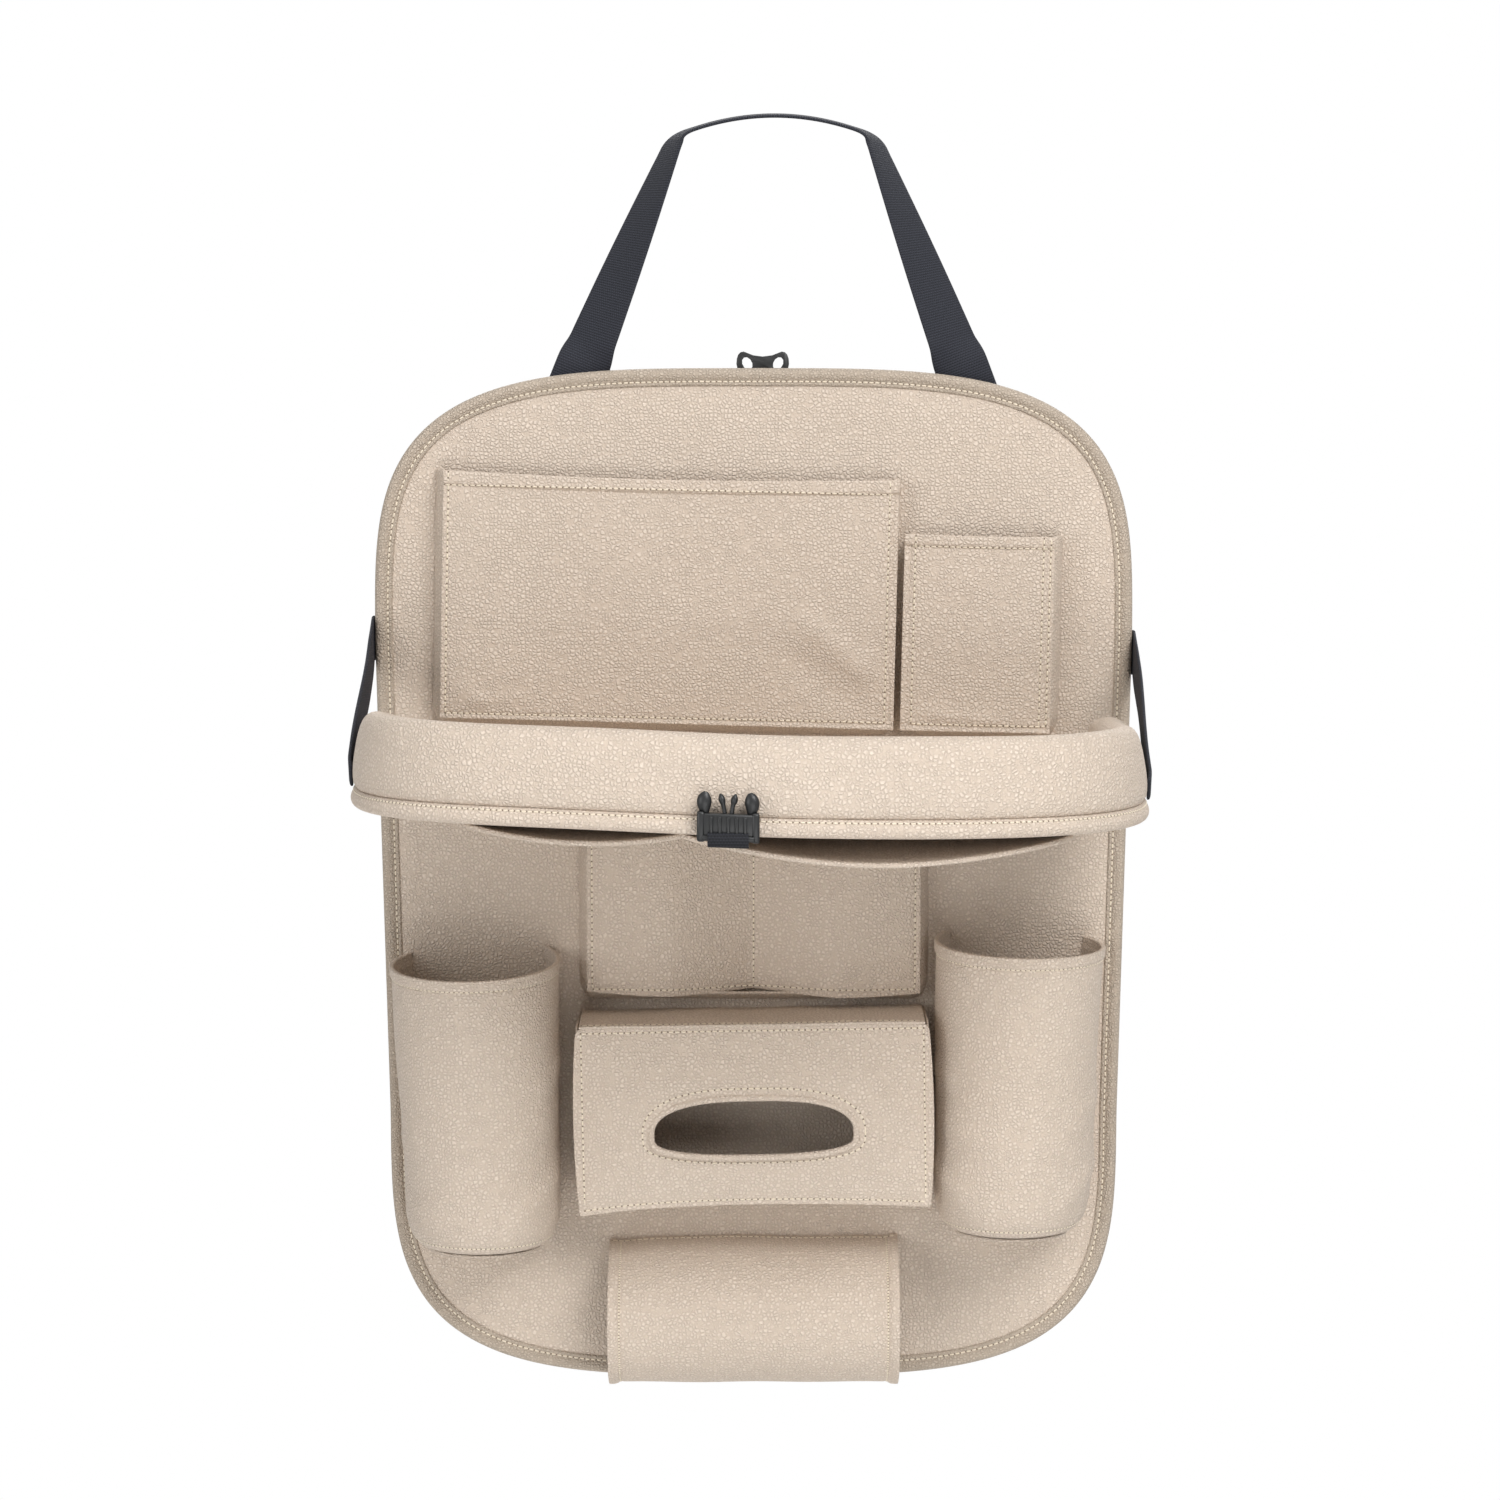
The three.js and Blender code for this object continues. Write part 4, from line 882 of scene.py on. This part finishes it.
def make_tray():
    line, side = tray_line()
    rim_shape = [
        (1.6, -2.3), (1.1, 3.5), (1.2, 9), (2.2, 16), (3.6, 23.5), (5.2, 29.5), (7.6, 34), (11.2, 36.2),
        (15.4, 36.3), (19.4, 34.8), (22.8, 31.4), (24.8, 26.5), (25.4, 19), (25.4, 11), (25.1, 3.5),
        (24.6, -1.6), (18, -1.7), (9, -2.3),
    ]

    def rim_section(y):
        forward = min(1, -y / RIM_TAPER)
        scale = 1 - RIM_DROP * (1 - forward) / RIM_HEIGHT
        return [(inside, z if z < 0 else z * scale) for inside, z in rim_shape]

    def core_section(y):
        return [(13 + (inside - 13) * 0.82, 17 + (z - 17) * 0.82) for inside, z in rim_section(y)]

    rim = swept("tray_padded_rim", line, side, rim_section)
    x, y, z = places = points_of(rim).T
    high = np.clip((z - TRAY_LEVEL) / 36, 0, 1)
    front = np.clip((-y - 150) / 60, 0, 1)
    z += (2.2 - 0.5 * (1 + ripple(x, y + z * 0.7, 120, 0.4))) * front * high ** 2
    y += 0.7 * ripple(x, z, 75, 2.7) * front * np.sin(pi * high)
    move_points(rim, places.T)
    soften(rim)
    finish(rim, leather, "tray", "leather", "tray_rim_cover")

    edge_shape = [
        (6.5, -1.8), (3.2, -1.9), (2.1, -2.5), (1.9, -3.4), (1.7, -4.3), (0.7, -5.7), (0.1, -7.6), (0, -9.2),
        (0.5, -11.4), (1.9, -13), (4.4, -13.6), (8, -13.6), (10.4, -12.6), (11, -8.5), (10.9, -3.6),
        (9.4, -1.9),
    ]
    edge_shape = [(inside, z * 0.84) for inside, z in edge_shape]
    edging = soften(swept("tray_rolled_edge", line, side, lambda y: edge_shape))
    finish(edging, leather, "tray", "leather_edge", "tray_edging")
    seam_x, seam_y = (line + side * 22).T
    stitch_row("tray_edge_stitches", at(seam_x, seam_y + HINGE_Y, TRAY_LEVEL - 3.4), at(*-side.T, 0), edging,
               "tray", pitch=3.2)
    core = swept("tray_rim_core", line[1:-1], side[1:-1], core_section)
    finish(core, foam, "tray", "foam", "tray_rim_foam")

    def tray_disc(name, inset, level, thickness, material, slot, node, rear=-HINGE_GAP):
        """A sheet of the tray's floor, cut off straight at the rear."""
        outline = line + side * (LINE_INSET - inset)
        outline = np.concatenate([outline, outline[:1]])
        centre = np.array([0.0, -105.0])
        rings = []
        for share in 1 - spread(0, 1, (0,), coarse=0.08, fine=0.012, reach=0.03):
            x, y = (centre + (outline - centre) * share).T
            y = np.minimum(y, rear)
            height = level + 0.25 * ripple(x, y, 70, 1.9) * (1 - share ** 8)
            rings.append(at(x, y + HINGE_Y, height + TRAY_LEVEL))
        sheet = thicken(surface(name, np.array(rings)), thickness, levels=0)
        finish(sheet, material, "tray", slot, node)

    tray_disc("tray_top_sheet", 25.1, -0.8, LEATHER, leather, "leather", "tray_top_cover")
    tray_disc("tray_under_sheet", 10.6, -10.8, 2.0, leather, "leather", "tray_bottom_cover")
    tray_disc("tray_board_core", 11.6, -5.9, 7.0, board, "board", "tray_board", rear=-2.2)
    x, z = np.meshgrid(np.linspace(-194, 194, 60), np.linspace(-1.0, -11.4, 8))
    y = HINGE_Y - 1.1 + 0.4 * np.sin(pi * (z + 1) / -10.4)
    leather_sheet("tray_rear_fold", at(x, y, z + TRAY_LEVEL), "tray", thickness=1.2)
    make_tray_pocket()


def make_tray_pocket():
    """A leather sheet under the tray, sewn along its sides, rear and middle. It hangs open at the front."""
    left_seam, right_seam = UNDER_LEFT + EDGE_SEAM, UNDER_RIGHT - EDGE_SEAM
    rear = TRAY_DEPTH - UNDER_INSET - UNDER_DEPTH
    seams = (UNDER_LEFT, left_seam, UNDER_SEAM, right_seam, UNDER_RIGHT)
    x, share = np.meshgrid(spread(UNDER_LEFT, UNDER_RIGHT, seams, coarse=5),
                           spread(0, 1, (0, 1), coarse=0.06, fine=0.01, reach=0.03))
    right = x > UNDER_SEAM
    along = (x - UNDER_SEAM) / np.where(right, UNDER_RIGHT - UNDER_SEAM, UNDER_LEFT - UNDER_SEAM)
    sag = np.where(right, 12, 6) * np.sin(pi * np.clip(along, 0, 1)) ** 0.8
    y = HINGE_Y - (rear + (under_front(x) - rear) * share)
    z = TRAY_LEVEL - 13.3 - sag * share ** 1.4 + 0.4 * ripple(x, y, 70, 0.7) * share
    hem = np.clip((share - 0.95) / 0.02, 0, 1)
    sheet = leather_sheet("tray_pocket_sheet", at(x, y, z), "tray", "tray_pocket", HEMMED, 0.6 + 0.4 * hem)
    for seam, word in ((left_seam, "left"), (UNDER_SEAM, "middle"), (right_seam, "right")):
        forward = rear + (under_front(seam) - rear) * np.linspace(0.03, 0.97, 30)
        line = at(seam, HINGE_Y - forward, TRAY_LEVEL - 60)
        stitch_row("tray_pocket_%s_stitches" % word, line, (0, 0, 1), sheet, "tray")


def make_hinge_strip():
    """The leather shelf that carries the tray. Its front edge is the fold that the tray turns on."""
    xs = spread(-194.5, 194.5, (-194.5, 194.5), coarse=6)
    profile = [(FACE - 0.9, -14), (FACE - 1.2, -2.5), (FACE - 2.6, -0.9), (-24, -0.6), (HINGE_Y, -0.8)]
    profile = resample(profile, spacing=1.5)
    x, y = np.meshgrid(xs, profile[:, 0])
    z = TRAY_LEVEL + profile[:, 1:] + 0.25 * ripple(x, y, 60, 1.5) * (y < -12)
    strip = leather_sheet("hinge_strip_sheet", at(x, y, z), "bag", "hinge_strip")
    stitch_row("hinge_strip_stitches", at(np.linspace(-192, 192, 30), -44, 90), (0, 0, -1), strip)


# Webbing and buckle

def ribbon(name, centre, width_axis, widths, material, body, node):
    """A flat strap along a line of points, with soft edges. Its UV map runs along it."""
    across = np.linspace(-0.5, 0.5, 9)
    points = centre[:, None, :] + width_axis[:, None, :] * (across[None, :, None] * widths[:, None, None])
    return finish(thicken(surface(name, points), WEBBING), material, body, "webbing", node)


def make_headrest_strap():
    """An arch from the panel's top left to its top right. Its legs turn as they climb."""
    low, corner_z, sewn_y, lean = 264.0, 410.0, 1.3, 24.0
    left_foot, left_corner, right_corner, right_foot = -97, -43, 66, 117
    share = np.linspace(0, 0.985, 60)

    def leg(foot_x, corner_x):
        z = low + share * (corner_z - low)
        free = np.clip((z - PANEL_TOP) / (corner_z - PANEL_TOP), 0, 1)
        climbed = (z - 275.5) / (corner_z - 275.5)
        return at(foot_x + (corner_x - foot_x) * climbed, sewn_y + lean * free ** 1.2, z)

    bow = np.linspace(0.03, 0.97, 40)
    arch_x = left_corner + (right_corner - left_corner) * bow
    arch = at(arch_x, sewn_y + lean, corner_z + 11 * (1 - (2 * bow - 1) ** 2))
    line = np.concatenate([leg(left_foot, left_corner), arch, leg(right_foot, right_corner)[::-1]])
    line = smooth_line(resample(line, 240), 6)
    along = unit(np.gradient(line, axis=0))
    back = np.array([0.0, 1.0, 0.0])
    outwards = unit(np.cross(along, back))
    deep = unit(back - along * (along @ back)[:, None])
    climb = np.clip((line[:, 2] - PANEL_TOP) / (corner_z - PANEL_TOP), 0, 1)
    flat = ease((line[:, 2] - corner_z + 6) / 10)
    turn = np.radians(22 * ease(climb / 0.12) + 50 * climb + 12 * flat)
    width_axis = outwards * np.cos(turn)[:, None] + deep * np.sin(turn)[:, None]
    widths = np.full(len(line), HEADREST_WIDTH)
    strap = ribbon("headrest_webbing", line, width_axis, widths, strap_webbing, "bag", "headrest_strap")
    for foot_x, slant, word in ((left_foot, 0.39, "left"), (right_foot, -0.37, "right")):
        middle = np.array([foot_x - slant * 6.5, 40.0, 269.0])
        across, along = np.array([cos(slant), 0, -sin(slant)]), np.array([sin(slant), 0, cos(slant)])
        corners = [(-12, -3), (12, -3), (12, 9), (-12, 9), (-12, -3), (12, 9), (12, -3), (-12, 9)]
        box = np.array([middle + across * a + along * b for a, b in corners])
        stitch_row("headrest_%s_foot_stitches" % word, box, (0, -1, 0), strap, pitch=2.6, thickness=0.8,
                   yarn=dark_thread)


def make_stay_strap(word, side, start_z):
    """A strap from behind the panel's edge, round it and down to the seam under the tray's rim."""
    end_y, end_z = HINGE_Y - 112, TRAY_LEVEL + 2.6
    clear, bend_radius, behind = 1.3, 4, 0.16
    share = np.linspace(0, 1, 90)
    first = share / behind
    bend = np.clip(2 * first - 1, 0, 1) * pi / 2
    straight = np.maximum(0, 1 - 2 * first) * 6.5
    forward = np.clip((share - behind) / (1 - behind), 0, 1)
    turn_x = TOP_HALF_WIDTH + clear - bend_radius * (1 - np.sin(bend)) - straight
    turn_y = clear - bend_radius * (1 - np.cos(bend))
    x = turn_x + (205.3 - turn_x) * forward ** 0.8 - 1.6 * np.clip(forward / 0.08 - 11.5, 0, 1) ** 2
    centre = at(side * x, turn_y + (end_y - turn_y) * forward, start_z + (end_z - start_z) * forward)
    slope = (start_z - end_z) / (clear - bend_radius - end_y)
    width_axis = at(0, -slope * np.clip(forward / 0.15, 0, 1), 1)
    widths = STAY_WIDTH - STAY_TAPER * forward ** 2
    name = word + "_stay_"
    return ribbon(name + "webbing", centre, width_axis, widths, stay_webbing, None, name + "strap")


def round_edges(piece, radius, segments):
    rounding = piece.modifiers.new("Rounding", "BEVEL")
    rounding.width = radius * MM
    rounding.segments = segments
    rounding.limit_method = "ANGLE"
    rounding.angle_limit = radians(35)
    apply_modifiers(piece)
    bpy.ops.object.shade_smooth_by_angle(angle=radians(40))


def rounded_copy(node, name, radius, material, body, slot):
    """A copy of a node with its edges rounded."""
    piece = add_object(name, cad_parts[node].data.copy())
    piece.data.name = name
    make_active(piece)
    edit_all((bpy.ops.mesh.remove_doubles, {"threshold": 0.005 * MM}),
             (bpy.ops.mesh.dissolve_limited, {"angle_limit": radians(4)}))
    round_edges(piece, radius, 2)
    finish(piece, material, body, slot, node)


def rod(name, line, radii, depth=1.0):
    """A moulded finger along a line of points, round or flattened towards the bag."""
    line = resample(line, len(radii))
    around = np.linspace(0, 2 * pi, 13)
    along = unit(np.gradient(line, axis=0))
    side = at(along[:, 2], 0, -along[:, 0])
    deep = np.cross(along, side)
    across, back = np.cos(around)[:, None], depth * np.sin(around)[:, None]
    ring = across * side[:, None] + back * deep[:, None]
    return surface(name, line[:, None] + ring * radii[:, None, None])


def block(name, low, high, radius):
    """A moulded block between two corners, with rounded edges."""
    low, high = np.array(low, dtype=float), np.array(high, dtype=float)
    deselect()
    bpy.ops.mesh.primitive_cube_add(size=1, location=(low + high) / 2 * MM, scale=(high - low) * MM)
    bpy.ops.object.transform_apply(location=True, rotation=True, scale=True)
    piece = bpy.context.object
    piece.name = name
    round_edges(piece, radius, 3)
    return piece


def make_buckle_plug():
    """The buckle's plug: a ribbed body, two sprung leaves and two guide fingers between them."""
    x, y, z = BUCKLE_X, BUCKLE_Y, TRAY_LEVEL
    parts = [block("tray_buckle_plug", (x - 15, y - 3, z - 10.5), (x + 15, y + 3, z + 0.8), 1.2)]
    leaf, finger = np.linspace(0, 1, 15), np.linspace(0, 1, 11)
    for side in (-1, 1):
        post = x + side * 13.2
        parts.append(block("end_post", (post - 2, y - 3.4, z - 13.2), (post + 2, y + 3.4, z + 1.6), 1.3))
        bowed = at(x + side * (10.6 + 1.0 * np.sin(pi * leaf)), y, z - 1 + 12 * leaf)
        swell = np.sin(pi * np.clip(leaf * 0.93 + 0.05, 0, 1)) ** 0.7 * (0.45 + 0.55 * leaf)
        parts.append(rod("leaf", bowed, 0.4 + 4.3 * swell, depth=0.55))
        bent = at(x + side * (1.6 + 2.2 * finger ** 1.5), y, z - 0.5 + 10.8 * finger)
        tip = 0.7 * np.sin(pi * np.clip(finger * 2 - 1, 0, 1)) - 0.7 * finger ** 8
        parts.append(rod("finger", bent, 1.1 + tip))
    for rib in (-8.2, -4.1, 0, 4.1, 8.2):
        parts.append(block("rib", (x + rib - 0.9, y - 4.1, z - 9), (x + rib + 0.9, y, z - 0.6), 0.5))
    parts.append(block("cross_bar", (x - 13, y - 3.9, z - 12.6), (x + 13, y + 2.6, z - 9.8), 0.9))
    deselect()
    for part in parts:
        part.select_set(True)
    bpy.context.view_layer.objects.active = parts[0]
    bpy.ops.object.join()
    finish(parts[0], plastic, "tray", "plastic", "tray_buckle")


def make_buckle():
    make_buckle_plug()
    rounded_copy("buckle_socket", "buckle_socket_shell", 0.5, plastic, "bag", "plastic")
    rounded_copy("tray_buckle_tab", "tray_buckle_loop", 0.3, tab_webbing, "tray", "webbing")
    rounded_copy("buckle_socket_tab", "buckle_socket_loop", 0.3, tab_webbing, "bag", "webbing")


def settle_tray(*straps):
    """The tray hangs from soft straps, so it lies a little lower at its right and nearer to the left."""
    for piece in tray_pieces + list(straps):
        x, y, z = places = points_of(piece).T
        share = ease((HINGE_Y - y) / 90)
        z += share * (-0.8 - 3.6 * np.tanh((x + 45) / 80))
        x -= share * 2
        move_points(piece, places.T)


make_panel()
make_upper_pockets()
make_centre_pocket()
make_tissue_pocket()
make_bottle_pocket(
    "left", -1, -107, -37, 7,
    ((-20, 44), (66, 78), 6, 2.0), ((-50, 24), (30, 40), 5, 1.5), ((10, 14), (70, 48), 6, 2.2),
    ((30, 84), (72, 108), 7, 1.6), ((-66, 58), (-30, 66), 6, 1.2))
make_bottle_pocket(
    "right", 1, 100, -28, 3.5,
    ((-72, 40), (-20, 18), 5, 2.0), ((-60, 64), (10, 44), 7, 1.4), ((20, 16), (72, 44), 5, 1.8),
    ((-70, 92), (-36, 84), 7, 1.4), ((24, 60), (74, 80), 7, 1.3))
make_sleeve()
make_hinge_strip()
make_tray()
make_headrest_strap()
left_stay = make_stay_strap("left", -1, TRAY_LEVEL + 66)
right_stay = make_stay_strap("right", 1, TRAY_LEVEL + 58)
make_buckle()
settle_tray(left_stay, right_stay)
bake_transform(left_stay)
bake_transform(right_stay)

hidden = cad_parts["panel_foam"]
hidden.data.materials.clear()
hidden.data.materials.append(foam)


# Studio

def make_studio():
    deselect()
    bpy.ops.mesh.primitive_plane_add(size=8, location=(0, 0, -0.95))
    floor = bpy.context.object
    floor.name = "studio_floor"
    material, tree, shader = new_material("matt_paper", Base_Color=linear("#F7F7F6"), Roughness=0.95)
    seen = add_node(tree, "LightPath")["Is Camera Ray"]
    white = add_node(tree, "Emission", {"Color": linear("#FFFFFF"), "Strength": 1.0})["Emission"]
    paper = add_node(tree, "MixShader", {0: seen, 1: shader.outputs["BSDF"], 2: white})["Shader"]
    tree.links.new(paper, tree.nodes["Material Output"].inputs["Surface"])
    floor.data.materials.append(material)
    floor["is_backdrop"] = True

    world = bpy.data.worlds.new("studio")
    bpy.context.scene.world = world
    world.use_nodes = True
    tree = world.node_tree
    tree.nodes.clear()
    path = add_node(tree, "LightPath")
    seen = calculate(tree, "MAXIMUM", path["Is Camera Ray"], path["Is Transmission Ray"])
    seen = calculate(tree, "MAXIMUM", seen, path["Is Glossy Ray"])
    glow, white = [
        add_node(tree, "Background", {"Color": linear("#FFFFFF"), "Strength": strength})["Background"]
        for strength in (0.33, 1.0)
    ]
    mixed = add_node(tree, "MixShader", {0: seen, 1: glow, 2: white})["Shader"]
    add_node(tree, "OutputWorld", {"Surface": mixed})

    def lamp(name, place, size, power):
        light = bpy.data.lights.new(name, "AREA")
        light.shape = "RECTANGLE"
        light.size, light.size_y = size
        light.energy = power
        holder = add_object(name, light)
        holder.location = place
        aim = Vector((0, -0.05, 0.05)) - Vector(place)
        holder.rotation_euler = aim.to_track_quat("-Z", "Y").to_euler()

    lamp("key", (1.1, -2.0, 1.7), (1.3, 1.3), 48)
    lamp("fill", (-1.8, -2.1, 0.3), (1.4, 1.4), 18)
    lamp("low", (0.3, -2.3, -0.7), (1.4, 0.9), 12)
    lamp("top", (0.1, -0.5, 2.4), (1.8, 1.2), 17)
    lamp("rear", (0.2, 2.4, 1.4), (2.0, 1.6), 24)

    camera = bpy.data.cameras.new("camera")
    camera.lens = 86.9
    camera.sensor_width = 36
    holder = add_object("camera", camera)
    target = Vector((-0.002, -0.0099, 0.072))
    tilt = radians(5.5)
    holder.location = target + Vector((0, -cos(tilt), sin(tilt))) * 2.0
    holder.rotation_euler = (pi / 2 - tilt, 0, 0)
    bpy.context.scene.camera = holder
    bpy.context.scene.view_settings.view_transform = "Standard"


make_studio()
corners = [[list(map(float, corner)) for corner in box] for box in (solid_box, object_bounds())]
